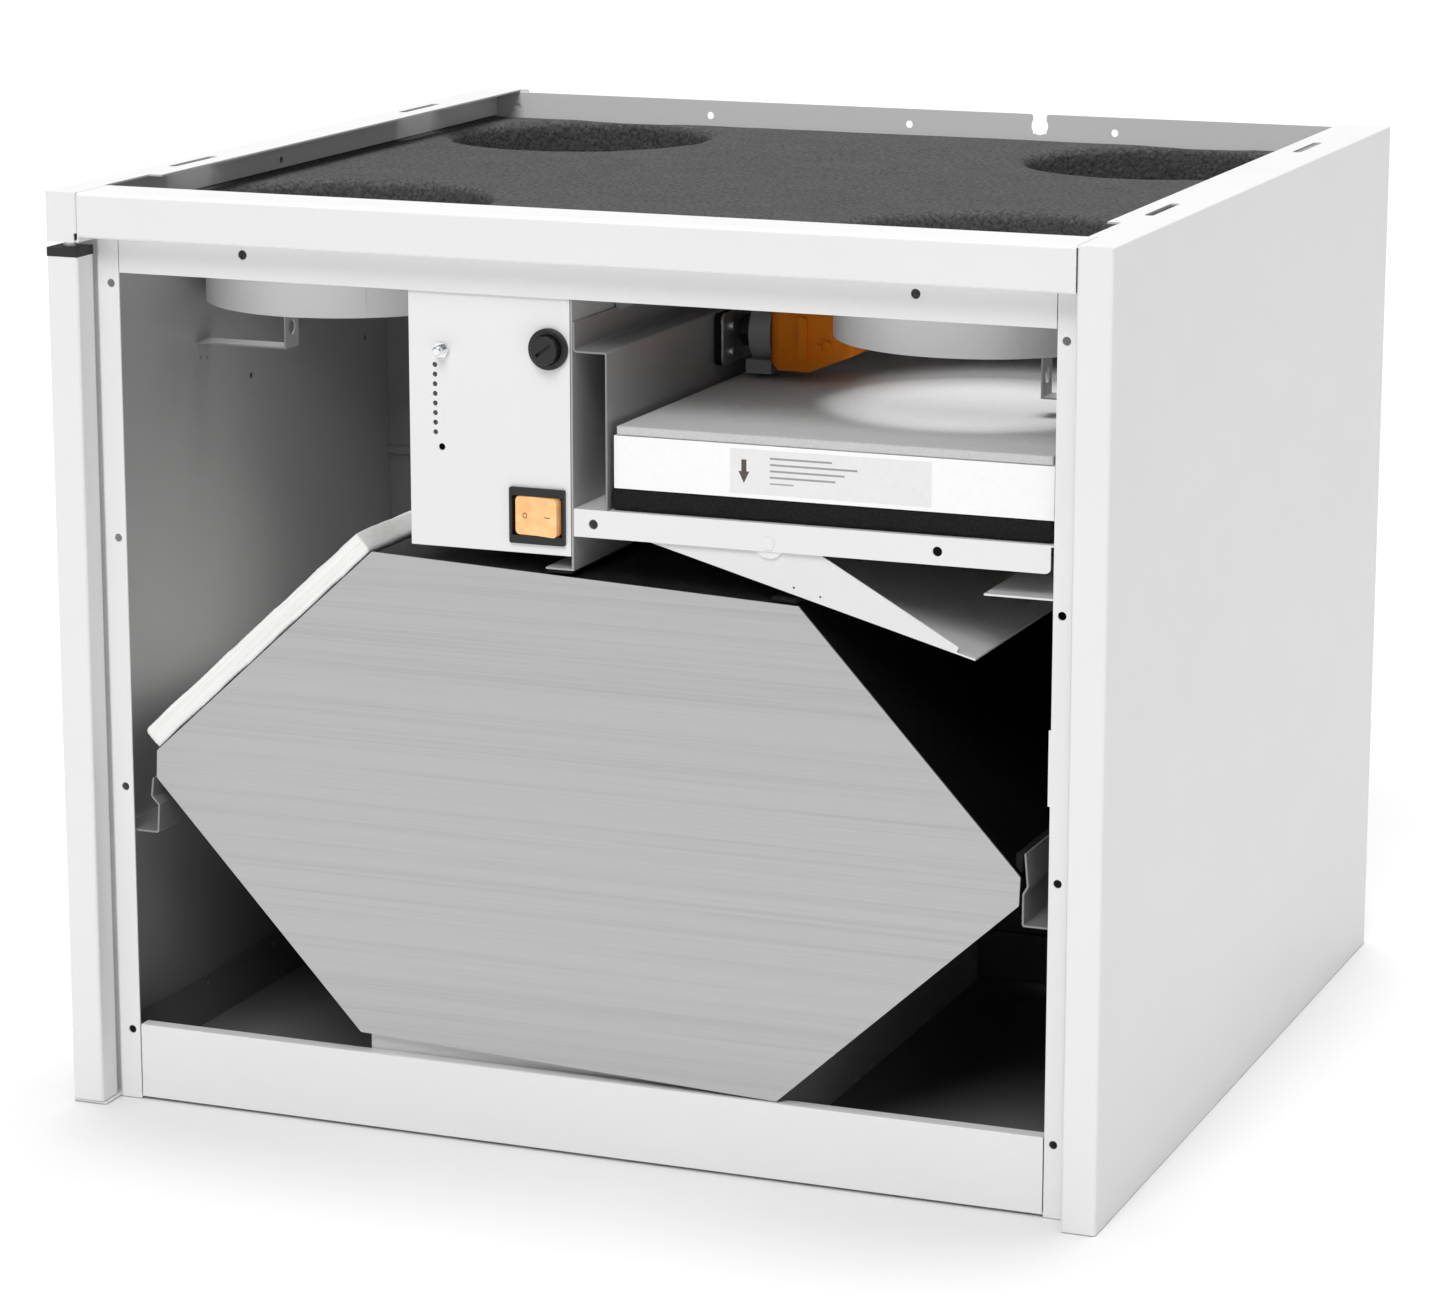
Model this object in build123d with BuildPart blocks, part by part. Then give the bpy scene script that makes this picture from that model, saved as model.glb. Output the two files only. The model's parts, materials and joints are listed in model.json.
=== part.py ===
from build123d import *
import math
import os

# Heat recovery ventilation unit for a 600 mm kitchen module, in millimetres.
# Origin at the centre of the bottom face of the cabinet, +X to the right of someone who faces the
# open front, +Y towards the back, +Z up. Depths are given behind the front face of the cabinet.

# Driving dimensions of the cabinet
WIDTH = 598.0
DEPTH = 574.0
HEIGHT = 512.0
FRONT = -DEPTH / 2
SHEET = 1.0
BEND = 2.0

# Front frame
SIDE_X = WIDTH / 2
POST_W = 19.0
JAMB_X = SIDE_X - POST_W
RECESS = 18.0
OPENING_X = 265.2
RAIL_BOTTOM = 487.7
RAIL_TOP_DEPTH = 35.0
STRIP_BOTTOM = 467.4
PLINTH_TOP = 43.5
REAR_Y = DEPTH - SHEET
RIM_TOP = 510.3

# Inner skins and compartments
LINER_X = JAMB_X
INNER_X = LINER_X - SHEET
PARTITION_Y = 378.0
TRAY_FLOOR = 12.0
TRAY_TOP = 42.0
TRAY_FRONT = 26.5
ROOF_Z = 469.0
FOAM_BOTTOM = ROOF_Z + 2 * SHEET
FOAM_TOP = 495.2
CORE_Y = 20.0

# Duct connections
DUCT_R = 80.0
COLLAR_BOTTOM = 439.0
LEFT_DUCT_X = -194.5
RIGHT_DUCT_X = 181.0
FRONT_DUCT_Y = 157.0
REAR_DUCT_Y = 486.0

# Hinge post in the front left corner
POST_X = -SIDE_X + POST_W / 2
POST_Y = RECESS / 2
POST_TOP = 477.0
CORNER_BOTTOM = 485.0
PIN_R = 3.4
RUNNING = 0.05

# Heat exchanger: elongated hexagon with flattened sides, tilted towards its drain side
TILT = -2.4
EXCHANGER_X = -1.0
EXCHANGER_Z = 184.2
EXCHANGER_HALF_W = 250.3
EXCHANGER_HALF_H = 135.2
EXCHANGER_TOP_HALF = 122.2
EXCHANGER_SIDE_HALF = 7.7
EXCHANGER_LENGTH = 353.0
PLATE = 1.2
CORE_INSET = 1.6

# Filter shelf, guide and flap
SHELF_Z = 356.5
SHELF_FLANGE = 14.8
SHELF_RIGHT = 262.9
GUIDE_X = 20.0
GUIDE_STEP_Z = 440.3
LEDGE_Z = 328.0
PIVOT_X = 110.2
PIVOT_Z = 346.1
PIVOT_R = 2.5
FLAP_FRONT = 22.6
FLAP_BACK = 372.0

# Supply filter cassette
CASSETTE_LEFT = 22.8
CASSETTE_RIGHT = 263.6
CASSETTE_BOTTOM = 368.7
CASSETTE_TOP = 396.6
CASSETTE_FRONT = 22.5
CASSETTE_BACK = 372.0
PREFILTER = 5.3

# Electronics box
BOX_LEFT = -93.5
BOX_RIGHT = -1.0
BOX_BOTTOM = 330.7
BOX_DEPTH = 160.0
ROCKER_X = -19.7
ROCKER_Z = 351.0
FUSE_X = -12.7
FUSE_Z = 440.4
PLUNGER_X = -74.0
PLUNGER_Z = 436.6
LED_X = -78.6
LED_TOP = 428.2
LED_PITCH = 5.15
LED_COUNT = 8

# Flap actuator, with its shaft along X
ACTUATOR_Y = 200.0
ACTUATOR_Z = 427.0
ACTUATOR_SHAFT_R = 5.0

# Centrifugal fans
FAN_X = 189.0
FAN_Z = 112.0
FAN_DRUM_R = 86.0
FAN_FRONT = PARTITION_Y + SHEET + 0.2
FAN_BACK = 482.0
IMPELLER_R = 74.0
IMPELLER_BORE = 4.0
INLET_R = 56.0
BLADES = 30


def upright(depth):
    """XZ plane at a depth behind the front face; its normal looks towards the front."""
    return Plane(origin=(0, FRONT + depth, 0), x_dir=(1, 0, 0), z_dir=(0, -1, 0))


def sideways(x):
    """YZ plane at x, with its local X counted as depth behind the front face."""
    return Plane(origin=(x, FRONT, 0), x_dir=(0, 1, 0), z_dir=(1, 0, 0))


def plan(z):
    """XY plane at a height, with its local Y counted as depth behind the front face."""
    return Plane(origin=(0, FRONT, z), x_dir=(1, 0, 0), z_dir=(0, 0, 1))


def block(x_range, depth_range, z_range, mode=Mode.ADD):
    """Rectangular body between two X, two depths and two Z values."""
    middle = (sum(x_range) / 2, FRONT + sum(depth_range) / 2, sum(z_range) / 2)
    size = [abs(b - a) for a, b in (x_range, depth_range, z_range)]
    with Locations(middle):
        Box(*size, mode=mode)


def folded_profile(points, side, bend=BEND):
    """Face of a sheet bent along an open outline, inside the sketch that is being built."""
    with BuildLine() as bent:
        outline = FilletPolyline(*points, radius=bend)
        offset(outline, amount=SHEET, side=side)
    make_face(bent.edges())


def hole_through(plane, points, radius, depth):
    """Round holes through a wall, centred on points of a plane and cut to both sides."""
    with BuildSketch(plane) as holes:
        with Locations(*points):
            Circle(radius)
    extrude(holes.sketch, amount=depth, both=True, mode=Mode.SUBTRACT)


def save(part, label):
    """Names one finished piece and writes it as its own STEP file."""
    part.label = label
    export_step(part, f"parts/{label}.step")


os.makedirs("parts", exist_ok=True)

# --- Right side panel: front flange, recessed strip, skin, rear, top and bottom flanges

STRIP_HOLES = (40.0, 180.5, 321.0, 461.4)
STRIP_HOLE_X = 270.0
COVER_SCREW_R = 2.3
PANEL_SCREW_R = 2.6
SLOT_YS = (149.0, 448.0)
SLOT_SIZE = (52.0, 5.0)
LEFT_SLOT_X = -288.0
RIGHT_RETURN = 15.0
LEFT_RETURN = 30.0
RIGHT_FLANGE = (267.5, 275.0, 91.8)
LEFT_FLANGE = (274.6, 282.0, 86.5)
BOTTOM_FLANGE_X = 267.5


def top_flange(sign, inner_edge, slot_x):
    """Top flange of one side panel: inner edge, step near the front and two long slots."""
    flange_x, front_x, step_y = inner_edge
    block((sign * flange_x, sign * SIDE_X), (step_y, REAR_Y), (HEIGHT - SHEET, HEIGHT))
    front = (RAIL_TOP_DEPTH + 0.3, step_y)
    block((sign * front_x, sign * SIDE_X), front, (HEIGHT - SHEET, HEIGHT))
    block((sign * JAMB_X, sign * SIDE_X), (0, RAIL_TOP_DEPTH + 0.3), (HEIGHT - SHEET, HEIGHT))
    with BuildSketch(plan(HEIGHT)) as slots:
        with Locations(*[(slot_x, y) for y in SLOT_YS]):
            SlotOverall(*SLOT_SIZE, rotation=90)
    extrude(slots.sketch, amount=-SHEET, mode=Mode.SUBTRACT)
    strip_end = (sign * (OPENING_X - 2), sign * (JAMB_X - 0.1))
    block(strip_end, (RECESS - 3, RECESS + 2), (HEIGHT - 1.2, HEIGHT), mode=Mode.SUBTRACT)


with BuildPart() as right_side_panel:
    with BuildSketch(plan(0)):
        folded_profile(
            [
                (OPENING_X, RECESS),
                (JAMB_X, RECESS),
                (JAMB_X, 0),
                (SIDE_X, 0),
                (SIDE_X, DEPTH),
                (SIDE_X - RIGHT_RETURN, DEPTH),
            ],
            Side.LEFT,
        )
    extrude(amount=HEIGHT)
    top_flange(1, RIGHT_FLANGE, JAMB_X)
    block((BOTTOM_FLANGE_X, SIDE_X), (RECESS + SHEET, REAR_Y), (0, SHEET))
    block((OPENING_X - 1.2, OPENING_X + 1), (RECESS, RECESS + SHEET), (221, 261))
    hole_through(upright(RECESS), [(STRIP_HOLE_X, z) for z in STRIP_HOLES], COVER_SCREW_R, 2)
    roof_edge = right_side_panel.edges().filter_by(Axis.Y).group_by(Axis.Z)[-1].sort_by(Axis.X)[-1]
    fillet(roof_edge, 0.8)
save(right_side_panel.part, "right_side_panel")

# --- Left side panel: the same skin, set back in the corner where the hinge post turns

SKIN_FRONT = 24.0
LEFT_RETURN_X = -SIDE_X + POST_W + 1.2

with BuildPart() as left_side_panel:
    with BuildSketch(plan(0)):
        folded_profile(
            [
                (-OPENING_X, RECESS),
                (LEFT_RETURN_X, RECESS),
                (LEFT_RETURN_X, SKIN_FRONT),
                (-SIDE_X, SKIN_FRONT),
                (-SIDE_X, DEPTH),
                (-SIDE_X + LEFT_RETURN, DEPTH),
            ],
            Side.RIGHT,
        )
    extrude(amount=CORNER_BOTTOM)
    with BuildSketch(plan(CORNER_BOTTOM)):
        folded_profile(
            [
                (-OPENING_X, RECESS),
                (-JAMB_X, RECESS),
                (-JAMB_X, 0),
                (-SIDE_X, 0),
                (-SIDE_X, DEPTH),
                (-SIDE_X + LEFT_RETURN, DEPTH),
            ],
            Side.RIGHT,
        )
    extrude(amount=HEIGHT - CORNER_BOTTOM)
    corner_plate = (CORNER_BOTTOM, CORNER_BOTTOM + SHEET)
    block((-SIDE_X + SHEET, -JAMB_X - SHEET), (SHEET, SKIN_FRONT + SHEET), corner_plate)
    block((-JAMB_X - SHEET, LEFT_RETURN_X + SHEET), (RECESS, SKIN_FRONT + SHEET), corner_plate)
    block((-JAMB_X - 2, -JAMB_X), (0, 2), (CORNER_BOTTOM, CORNER_BOTTOM + 5), mode=Mode.SUBTRACT)
    top_flange(-1, LEFT_FLANGE, LEFT_SLOT_X)
    block((-BOTTOM_FLANGE_X, -SIDE_X), (RECESS + SHEET, REAR_Y), (0, SHEET))
    block((-SIDE_X, LEFT_RETURN_X), (SHEET, RECESS + SHEET), (0, SHEET))
    hole_through(upright(RECESS), [(-STRIP_HOLE_X, z) for z in STRIP_HOLES], COVER_SCREW_R, 2)
    hole_through(plan(CORNER_BOTTOM), [(POST_X, POST_Y)], PIN_R, 2)
    hole_through(plan(0), [(POST_X, POST_Y)], PIN_R, 2)
save(left_side_panel.part, "left_side_panel")

# --- Hinge post of the door, its end bushes and its two pins

POST_HALF_X = 9.4
POST_HALF_Y = 8.9

with BuildPart() as hinge_post:
    with BuildSketch(plan(SHEET + 0.5)):
        with Locations((POST_X, POST_Y)):
            RectangleRounded(2 * POST_HALF_X, 2 * POST_HALF_Y, 1.8)
            RectangleRounded(2 * POST_HALF_X - 2.4, 2 * POST_HALF_Y - 2.4, 0.8, mode=Mode.SUBTRACT)
    extrude(amount=POST_TOP - SHEET - 0.5)
save(hinge_post.part, "hinge_post")

BUSH_CAP = 4.8
BUSH_STEM = 12.0
LOWER_BUSH_Z = 2.0

with BuildPart() as hinge_bushes:
    for stem_z in (POST_TOP - BUSH_STEM, LOWER_BUSH_Z):
        with BuildSketch(plan(stem_z)):
            with Locations((POST_X, POST_Y)):
                RectangleRounded(2 * POST_HALF_X - 2.6, 2 * POST_HALF_Y - 2.6, 0.7)
        extrude(amount=BUSH_STEM)
    with BuildSketch(plan(POST_TOP)):
        with Locations((POST_X, POST_Y)):
            RectangleRounded(19.0, 18.0, 0.8)
    extrude(amount=BUSH_CAP)
    with BuildSketch(plan(0)):
        with Locations((POST_X, POST_Y)):
            Circle(PIN_R + RUNNING)
    extrude(amount=HEIGHT, mode=Mode.SUBTRACT)
save(hinge_bushes.part, "hinge_bushes")

with BuildPart() as hinge_pins:
    for low, high in ((0.1, LOWER_BUSH_Z + 9), (POST_TOP - 8, CORNER_BOTTOM + 8)):
        with BuildSketch(plan(low)):
            with Locations((POST_X, POST_Y)):
                Circle(PIN_R)
        extrude(amount=high - low)
save(hinge_pins.part, "hinge_pins")

# --- Top front rail with the recessed upper strip

RAIL_END = JAMB_X - 0.4

with BuildPart() as front_top_rail:
    with BuildSketch(sideways(-RAIL_END)):
        folded_profile(
            [
                (RAIL_TOP_DEPTH, HEIGHT),
                (0, HEIGHT),
                (0, RAIL_BOTTOM),
                (RECESS, RAIL_BOTTOM),
            ],
            Side.LEFT,
        )
    extrude(amount=2 * RAIL_END)
    strip_x = OPENING_X - 0.5
    block((-strip_x, strip_x), (RECESS, RECESS + SHEET), (STRIP_BOTTOM, RAIL_BOTTOM + SHEET))
    for side in (-1, 1):
        corner_x = (side * (RAIL_END - 2.2), side * (RAIL_END + 1))
        block(corner_x, (RECESS - 2.5, RECESS), (RAIL_BOTTOM, RAIL_BOTTOM + 2), mode=Mode.SUBTRACT)
    hole_through(upright(RECESS), [(-190, 480.8), (190, 480.8)], PANEL_SCREW_R, 2)
save(front_top_rail.part, "front_top_rail")

# --- Rear panel with its row of fixing holes and the keyhole notch for a cable

RIM_HOLE_Z = 500.6
RIM_HOLE_X = -276.0
RIM_HOLE_PITCH = 134.1
NOTCH_X = 77.8

with BuildPart() as rear_panel:
    rear_x = SIDE_X - BEND - 0.1
    block((-rear_x, rear_x), (REAR_Y - SHEET, REAR_Y), (SHEET, RIM_TOP))
    rim_holes = [(RIM_HOLE_X + i * RIM_HOLE_PITCH, RIM_HOLE_Z) for i in range(5)]
    hole_through(upright(REAR_Y), rim_holes, COVER_SCREW_R, 2)
    with BuildSketch(upright(REAR_Y)):
        with Locations((NOTCH_X, RIM_TOP)):
            Rectangle(9, 12, align=(Align.CENTER, Align.MAX))
        with Locations((NOTCH_X, 503)):
            Circle(5.5)
    extrude(amount=SHEET, mode=Mode.SUBTRACT)
    notch_corners = rear_panel.edges().filter_by(Axis.Y).group_by(Axis.Z)[-1].sort_by(Axis.X)[1:3]
    fillet(notch_corners, 1.5)
save(rear_panel.part, "rear_panel")

# --- Bottom pan with the plinth, and the condensate tray with its drain spigot

DRAIN = (150.0, 340.0)
DRAIN_R = 6.0

with BuildPart() as bottom_pan:
    block((-INNER_X + 2, INNER_X - 2), (RECESS + SHEET, REAR_Y - SHEET), (SHEET, 2 * SHEET))
    plinth_x = OPENING_X - 0.7
    block((-plinth_x, plinth_x), (RECESS, RECESS + SHEET), (1.5, PLINTH_TOP))
    block((-plinth_x, plinth_x), (RECESS, TRAY_FRONT - 0.3), (PLINTH_TOP - SHEET, PLINTH_TOP))
    hole_through(plan(SHEET), [DRAIN], 13, 3)
save(bottom_pan.part, "bottom_pan")

TRAY_X = INNER_X - 0.2
TRAY_HOLE_YS = (122.0, 207.0, 292.0)

with BuildPart() as condensate_tray:
    block((-TRAY_X, TRAY_X), (TRAY_FRONT, PARTITION_Y - 1.4), (TRAY_FLOOR, TRAY_TOP))
    inside = (TRAY_FRONT + SHEET, PARTITION_Y - 1.4 - SHEET)
    hollow = (TRAY_FLOOR + SHEET, TRAY_TOP)
    block((-TRAY_X + SHEET, TRAY_X - SHEET), inside, hollow, mode=Mode.SUBTRACT)
    tray_holes = [(y, 37.4) for y in TRAY_HOLE_YS]
    for wall_x in (-TRAY_X, TRAY_X):
        hole_through(sideways(wall_x), tray_holes, 1.8, 2)
    with BuildSketch(plan(2.5)):
        with Locations(DRAIN):
            Circle(DRAIN_R + 2)
    extrude(amount=TRAY_FLOOR - 2.5)
    with BuildSketch(plan(2.5)):
        with Locations(DRAIN):
            Circle(DRAIN_R)
    extrude(amount=TRAY_FLOOR, mode=Mode.SUBTRACT)
save(condensate_tray.part, "condensate_tray")

# --- Inner side liners and the insulation boards behind them

LINER_TOP = ROOF_Z - 0.2
LINER_HOLES = [(197, 382.6), (348, 382.6)]
UPPER_LINER_X = 290.5
LEFT_LINER_FRONT = SKIN_FRONT + SHEET + 0.2
RIGHT_LINER_FRONT = RECESS + SHEET + 0.2

with BuildPart() as side_liners:
    liner_z = (2 * SHEET + 0.2, LINER_TOP)
    block((-LINER_X, -INNER_X), (LEFT_LINER_FRONT, REAR_Y - 1.5), liner_z)
    block((INNER_X, LINER_X), (RIGHT_LINER_FRONT, REAR_Y - 1.5), liner_z)
    for wall_x in (-LINER_X, LINER_X):
        hole_through(sideways(wall_x), LINER_HOLES, 2.1, 2)
    for sign in (-1, 1):
        upper_x = (sign * UPPER_LINER_X, sign * (UPPER_LINER_X + SHEET))
        block(upper_x, (RAIL_TOP_DEPTH + 1.3, REAR_Y - 1.5), (FOAM_TOP + 0.1, HEIGHT - SHEET - 0.1))
    hole_through(sideways(-UPPER_LINER_X), [(263, 500)], 2, 2)
save(side_liners.part, "side_liners")

with BuildPart() as side_insulation:
    board_z = (2 * SHEET + 0.2, LINER_TOP)
    board_x = (LINER_X + 0.1, SIDE_X - SHEET - 0.6)
    block(board_x, (RIGHT_LINER_FRONT + 0.4, REAR_Y - 1.6), board_z)
    block([-x for x in board_x], (LEFT_LINER_FRONT + 0.6, REAR_Y - 1.6), board_z)
save(side_insulation.part, "side_insulation")

# --- Roof plate, roof insulation and the four duct collars

DUCTS = {
    "extract_air_collar": (LEFT_DUCT_X, FRONT_DUCT_Y),
    "outdoor_air_collar": (RIGHT_DUCT_X, FRONT_DUCT_Y),
    "supply_air_collar": (LEFT_DUCT_X, REAR_DUCT_Y),
    "exhaust_air_collar": (RIGHT_DUCT_X, REAR_DUCT_Y),
}
ROOF_X = SIDE_X - SHEET - 0.6
COLLAR_FLANGE = 6.0


def roof_layer(bottom, top, hole_r):
    """One flat roof layer with a cleared hinge corner and the four duct holes."""
    block((-ROOF_X, ROOF_X), (RIGHT_LINER_FRONT, REAR_Y - 1.6), (bottom, top))
    corner = (RECESS, LEFT_LINER_FRONT + 0.6)
    block((-SIDE_X, LEFT_RETURN_X + 2.2), corner, (bottom, top), mode=Mode.SUBTRACT)
    hole_through(plan(bottom), DUCTS.values(), hole_r, top - bottom)


with BuildPart() as roof_plate:
    roof_layer(ROOF_Z, ROOF_Z + SHEET, DUCT_R + SHEET + 0.1)
save(roof_plate.part, "roof_plate")

with BuildPart() as roof_insulation:
    roof_layer(FOAM_BOTTOM, FOAM_TOP, DUCT_R)
save(roof_insulation.part, "roof_insulation")

for collar_name, centre in DUCTS.items():
    with BuildPart() as collar:
        with BuildSketch(plan(COLLAR_BOTTOM)):
            with Locations(centre):
                Circle(DUCT_R + SHEET)
        extrude(amount=FOAM_BOTTOM - COLLAR_BOTTOM)
        with BuildSketch(plan(ROOF_Z + SHEET)):
            with Locations(centre):
                Circle(DUCT_R + COLLAR_FLANGE)
        extrude(amount=SHEET - 0.1)
        with BuildSketch(plan(COLLAR_BOTTOM)):
            with Locations(centre):
                Circle(DUCT_R)
        extrude(amount=HEIGHT - COLLAR_BOTTOM, mode=Mode.SUBTRACT)
    save(collar.part, collar_name)

# --- Partition in front of the fan compartment, and the dividers

SEAM_Z = 306.5
WALL_X = INNER_X - 0.2

with BuildPart() as rear_partition:
    block((-WALL_X, WALL_X), (PARTITION_Y - SHEET, PARTITION_Y), (SEAM_Z, LINER_TOP))
    block((-WALL_X, WALL_X), (PARTITION_Y - 2.5, PARTITION_Y), (SEAM_Z, SEAM_Z + 5))
    block((-WALL_X, WALL_X), (PARTITION_Y + 0.2, PARTITION_Y + SHEET), (2.5, SEAM_Z + 5))
    hole_through(upright(PARTITION_Y), [(-FAN_X, FAN_Z), (FAN_X, FAN_Z)], INLET_R, 3)
save(rear_partition.part, "rear_partition")

DIVIDER_FOOT_Z = 323.0
GROMMETS = [(83, 460.4), (118, 460.4)]

with BuildPart() as centre_divider:
    divider_depth = (CORE_Y, PARTITION_Y - 2.7)
    block((-SHEET / 2, SHEET / 2), divider_depth, (DIVIDER_FOOT_Z, LINER_TOP))
    block((-15.5, SHEET / 2), divider_depth, (DIVIDER_FOOT_Z, DIVIDER_FOOT_Z + SHEET))
    hole_through(sideways(0), GROMMETS, 5, 2)
save(centre_divider.part, "centre_divider")

with BuildPart() as divider_seal:
    block((-15, -0.5), (CORE_Y + 0.5, PARTITION_Y - 3), (320.8, DIVIDER_FOOT_Z))
save(divider_seal.part, "divider_seal")

with BuildPart() as rear_divider:
    fan_bay = (PARTITION_Y + SHEET + 0.2, REAR_Y - SHEET - 0.2)
    block((-SHEET / 2, SHEET / 2), fan_bay, (2.5, LINER_TOP))
save(rear_divider.part, "rear_divider")

with BuildPart() as cable_grommets:
    with BuildSketch(sideways(1.8)):
        with Locations(*GROMMETS):
            Circle(8.2)
    extrude(amount=6, taper=32)
    with BuildSketch(sideways(-0.9)):
        with Locations(*GROMMETS):
            Circle(4.9)
    extrude(amount=2.7)
save(cable_grommets.part, "cable_grommets")

# --- Heat exchanger: end plates, plate stack, closing sheets and seals


def exchanger_plane(depth):
    """Upright plane whose origin is the exchanger's centre, turned with its tilt."""
    spin = math.radians(TILT)
    x_dir = (math.cos(spin), 0, math.sin(spin))
    return Plane(origin=(EXCHANGER_X, FRONT + depth, EXCHANGER_Z), x_dir=x_dir, z_dir=(0, -1, 0))


def exchanger_outline(inset):
    """Outline of the exchanger block, moved inwards by an inset."""
    half_w = EXCHANGER_HALF_W - inset
    half_h = EXCHANGER_HALF_H - inset
    corner = math.tan(math.radians(22.5)) * inset
    top = EXCHANGER_TOP_HALF - corner
    side = EXCHANGER_SIDE_HALF - corner
    quarter = [(half_w, side), (top, half_h)]
    upper = quarter + [(-x, z) for x, z in reversed(quarter)]
    return upper + [(-x, -z) for x, z in upper]


EXCHANGER_BACK = CORE_Y + EXCHANGER_LENGTH
CORE_LENGTH = EXCHANGER_LENGTH - 2 * PLATE

with BuildPart() as exchanger_end_plates:
    for plate_y in (CORE_Y, EXCHANGER_BACK - PLATE):
        with BuildSketch(exchanger_plane(plate_y)) as outline:
            Polygon(*exchanger_outline(0), align=None)
            fillet(outline.vertices(), 1.5)
        extrude(amount=-PLATE)
save(exchanger_end_plates.part, "exchanger_end_plates")

FACE_BORDER = 7.0
FACE_RECESS = 1.5

with BuildPart() as exchanger_core:
    with BuildSketch(exchanger_plane(CORE_Y + PLATE)):
        Polygon(*exchanger_outline(CORE_INSET), align=None)
    extrude(amount=-CORE_LENGTH)
    face_long = math.hypot(EXCHANGER_HALF_W - EXCHANGER_TOP_HALF, EXCHANGER_HALF_H - EXCHANGER_SIDE_HALF)
    face_middle_x = (EXCHANGER_HALF_W + EXCHANGER_TOP_HALF) / 2
    face_middle_z = (EXCHANGER_HALF_H + EXCHANGER_SIDE_HALF) / 2
    for across, up in ((1, 1), (-1, 1), (-1, -1), (1, -1)):
        with BuildSketch(exchanger_plane(CORE_Y + PLATE + FACE_BORDER)):
            with Locations((across * face_middle_x, up * face_middle_z)):
                window = (face_long - 2 * FACE_BORDER, 2 * (CORE_INSET + FACE_RECESS))
                Rectangle(*window, rotation=-45 * across * up)
        extrude(amount=-(CORE_LENGTH - 2 * FACE_BORDER), mode=Mode.SUBTRACT)
save(exchanger_core.part, "exchanger_core")

with BuildPart() as exchanger_closing_plates:
    sheet_mid_h = EXCHANGER_HALF_H - CORE_INSET + 0.6
    sheet_mid_w = EXCHANGER_HALF_W - CORE_INSET + 0.6
    with BuildSketch(exchanger_plane(CORE_Y + PLATE + 0.1)):
        with Locations((0, sheet_mid_h), (0, -sheet_mid_h)):
            Rectangle(2 * EXCHANGER_TOP_HALF - 4, SHEET)
        with Locations((sheet_mid_w, 0), (-sheet_mid_w, 0)):
            Rectangle(SHEET, 2 * EXCHANGER_SIDE_HALF - 4)
    extrude(amount=-(CORE_LENGTH - 0.2))
save(exchanger_closing_plates.part, "exchanger_closing_plates")

SEAL_TOP = EXCHANGER_HALF_H - CORE_INSET + 1.2

with BuildPart() as exchanger_seals:
    with BuildSketch(exchanger_plane(CORE_Y + PLATE + 1)):
        with Locations((EXCHANGER_TOP_HALF - 9, SEAL_TOP)):
            Rectangle(14, 3.2, align=(Align.CENTER, Align.MIN))
        with BuildLine():
            Polyline((249.6, 8.9), (250.6, 9.6), (250.6, 20), (246.4, 20), (246.4, 12.2), close=True)
        make_face()
    extrude(amount=-(CORE_LENGTH - 2))
save(exchanger_seals.part, "exchanger_seals")


def exchanger_rail(points, side):
    """Folded rail along one side of the exchanger, as long as the front compartment."""
    with BuildPart() as rail:
        with BuildSketch(upright(CORE_Y + 0.5)):
            folded_profile(points, side, bend=1.5)
        extrude(amount=-(PARTITION_Y - 4 - CORE_Y))
    return rail.part


RAIL_Z = 155.0
left_rail_outline = [(-253.4, 186), (-254.6, 176), (-250.2, 171.4), (-251.2, RAIL_Z), (-276.9, RAIL_Z)]
right_rail_outline = [(251.2, 194), (252.8, 176.6), (250.4, 172.6), (250.4, RAIL_Z), (WALL_X, RAIL_Z)]
save(exchanger_rail(left_rail_outline, Side.RIGHT), "exchanger_rail_left")
save(exchanger_rail(right_rail_outline, Side.LEFT), "exchanger_rail_right")

SUPPORT_LEFT = -126.0
SUPPORT_RIGHT = 112.0
SUPPORT_Y = TRAY_FRONT + SHEET + 0.2
SUPPORT_LENGTH = 340.0

with BuildPart() as exchanger_support:
    tray_top = TRAY_FLOOR + SHEET + 0.1
    slope = math.tan(math.radians(TILT))
    under_core = EXCHANGER_Z - EXCHANGER_HALF_H / math.cos(math.radians(TILT)) - 0.3
    top_left = under_core + slope * (SUPPORT_LEFT - EXCHANGER_X)
    top_right = under_core + slope * (SUPPORT_RIGHT - EXCHANGER_X)
    with BuildSketch(upright(SUPPORT_Y)):
        with BuildLine():
            Polyline(
                (SUPPORT_LEFT, tray_top),
                (SUPPORT_LEFT, top_left),
                (SUPPORT_RIGHT, top_right),
                (SUPPORT_RIGHT, tray_top),
                close=True,
            )
        make_face()
    extrude(amount=-SUPPORT_LENGTH)
    with BuildSketch(upright(SUPPORT_Y + SHEET)):
        with BuildLine():
            Polyline(
                (SUPPORT_LEFT + SHEET, tray_top),
                (SUPPORT_LEFT + SHEET, top_left - SHEET),
                (SUPPORT_RIGHT - SHEET, top_right - SHEET),
                (SUPPORT_RIGHT - SHEET, tray_top),
                close=True,
            )
        make_face()
    extrude(amount=-(SUPPORT_LENGTH - 2 * SHEET), mode=Mode.SUBTRACT)
save(exchanger_support.part, "exchanger_support")

# --- Filter mat on the extract side of the exchanger

MAT_THICK = 13.4

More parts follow.
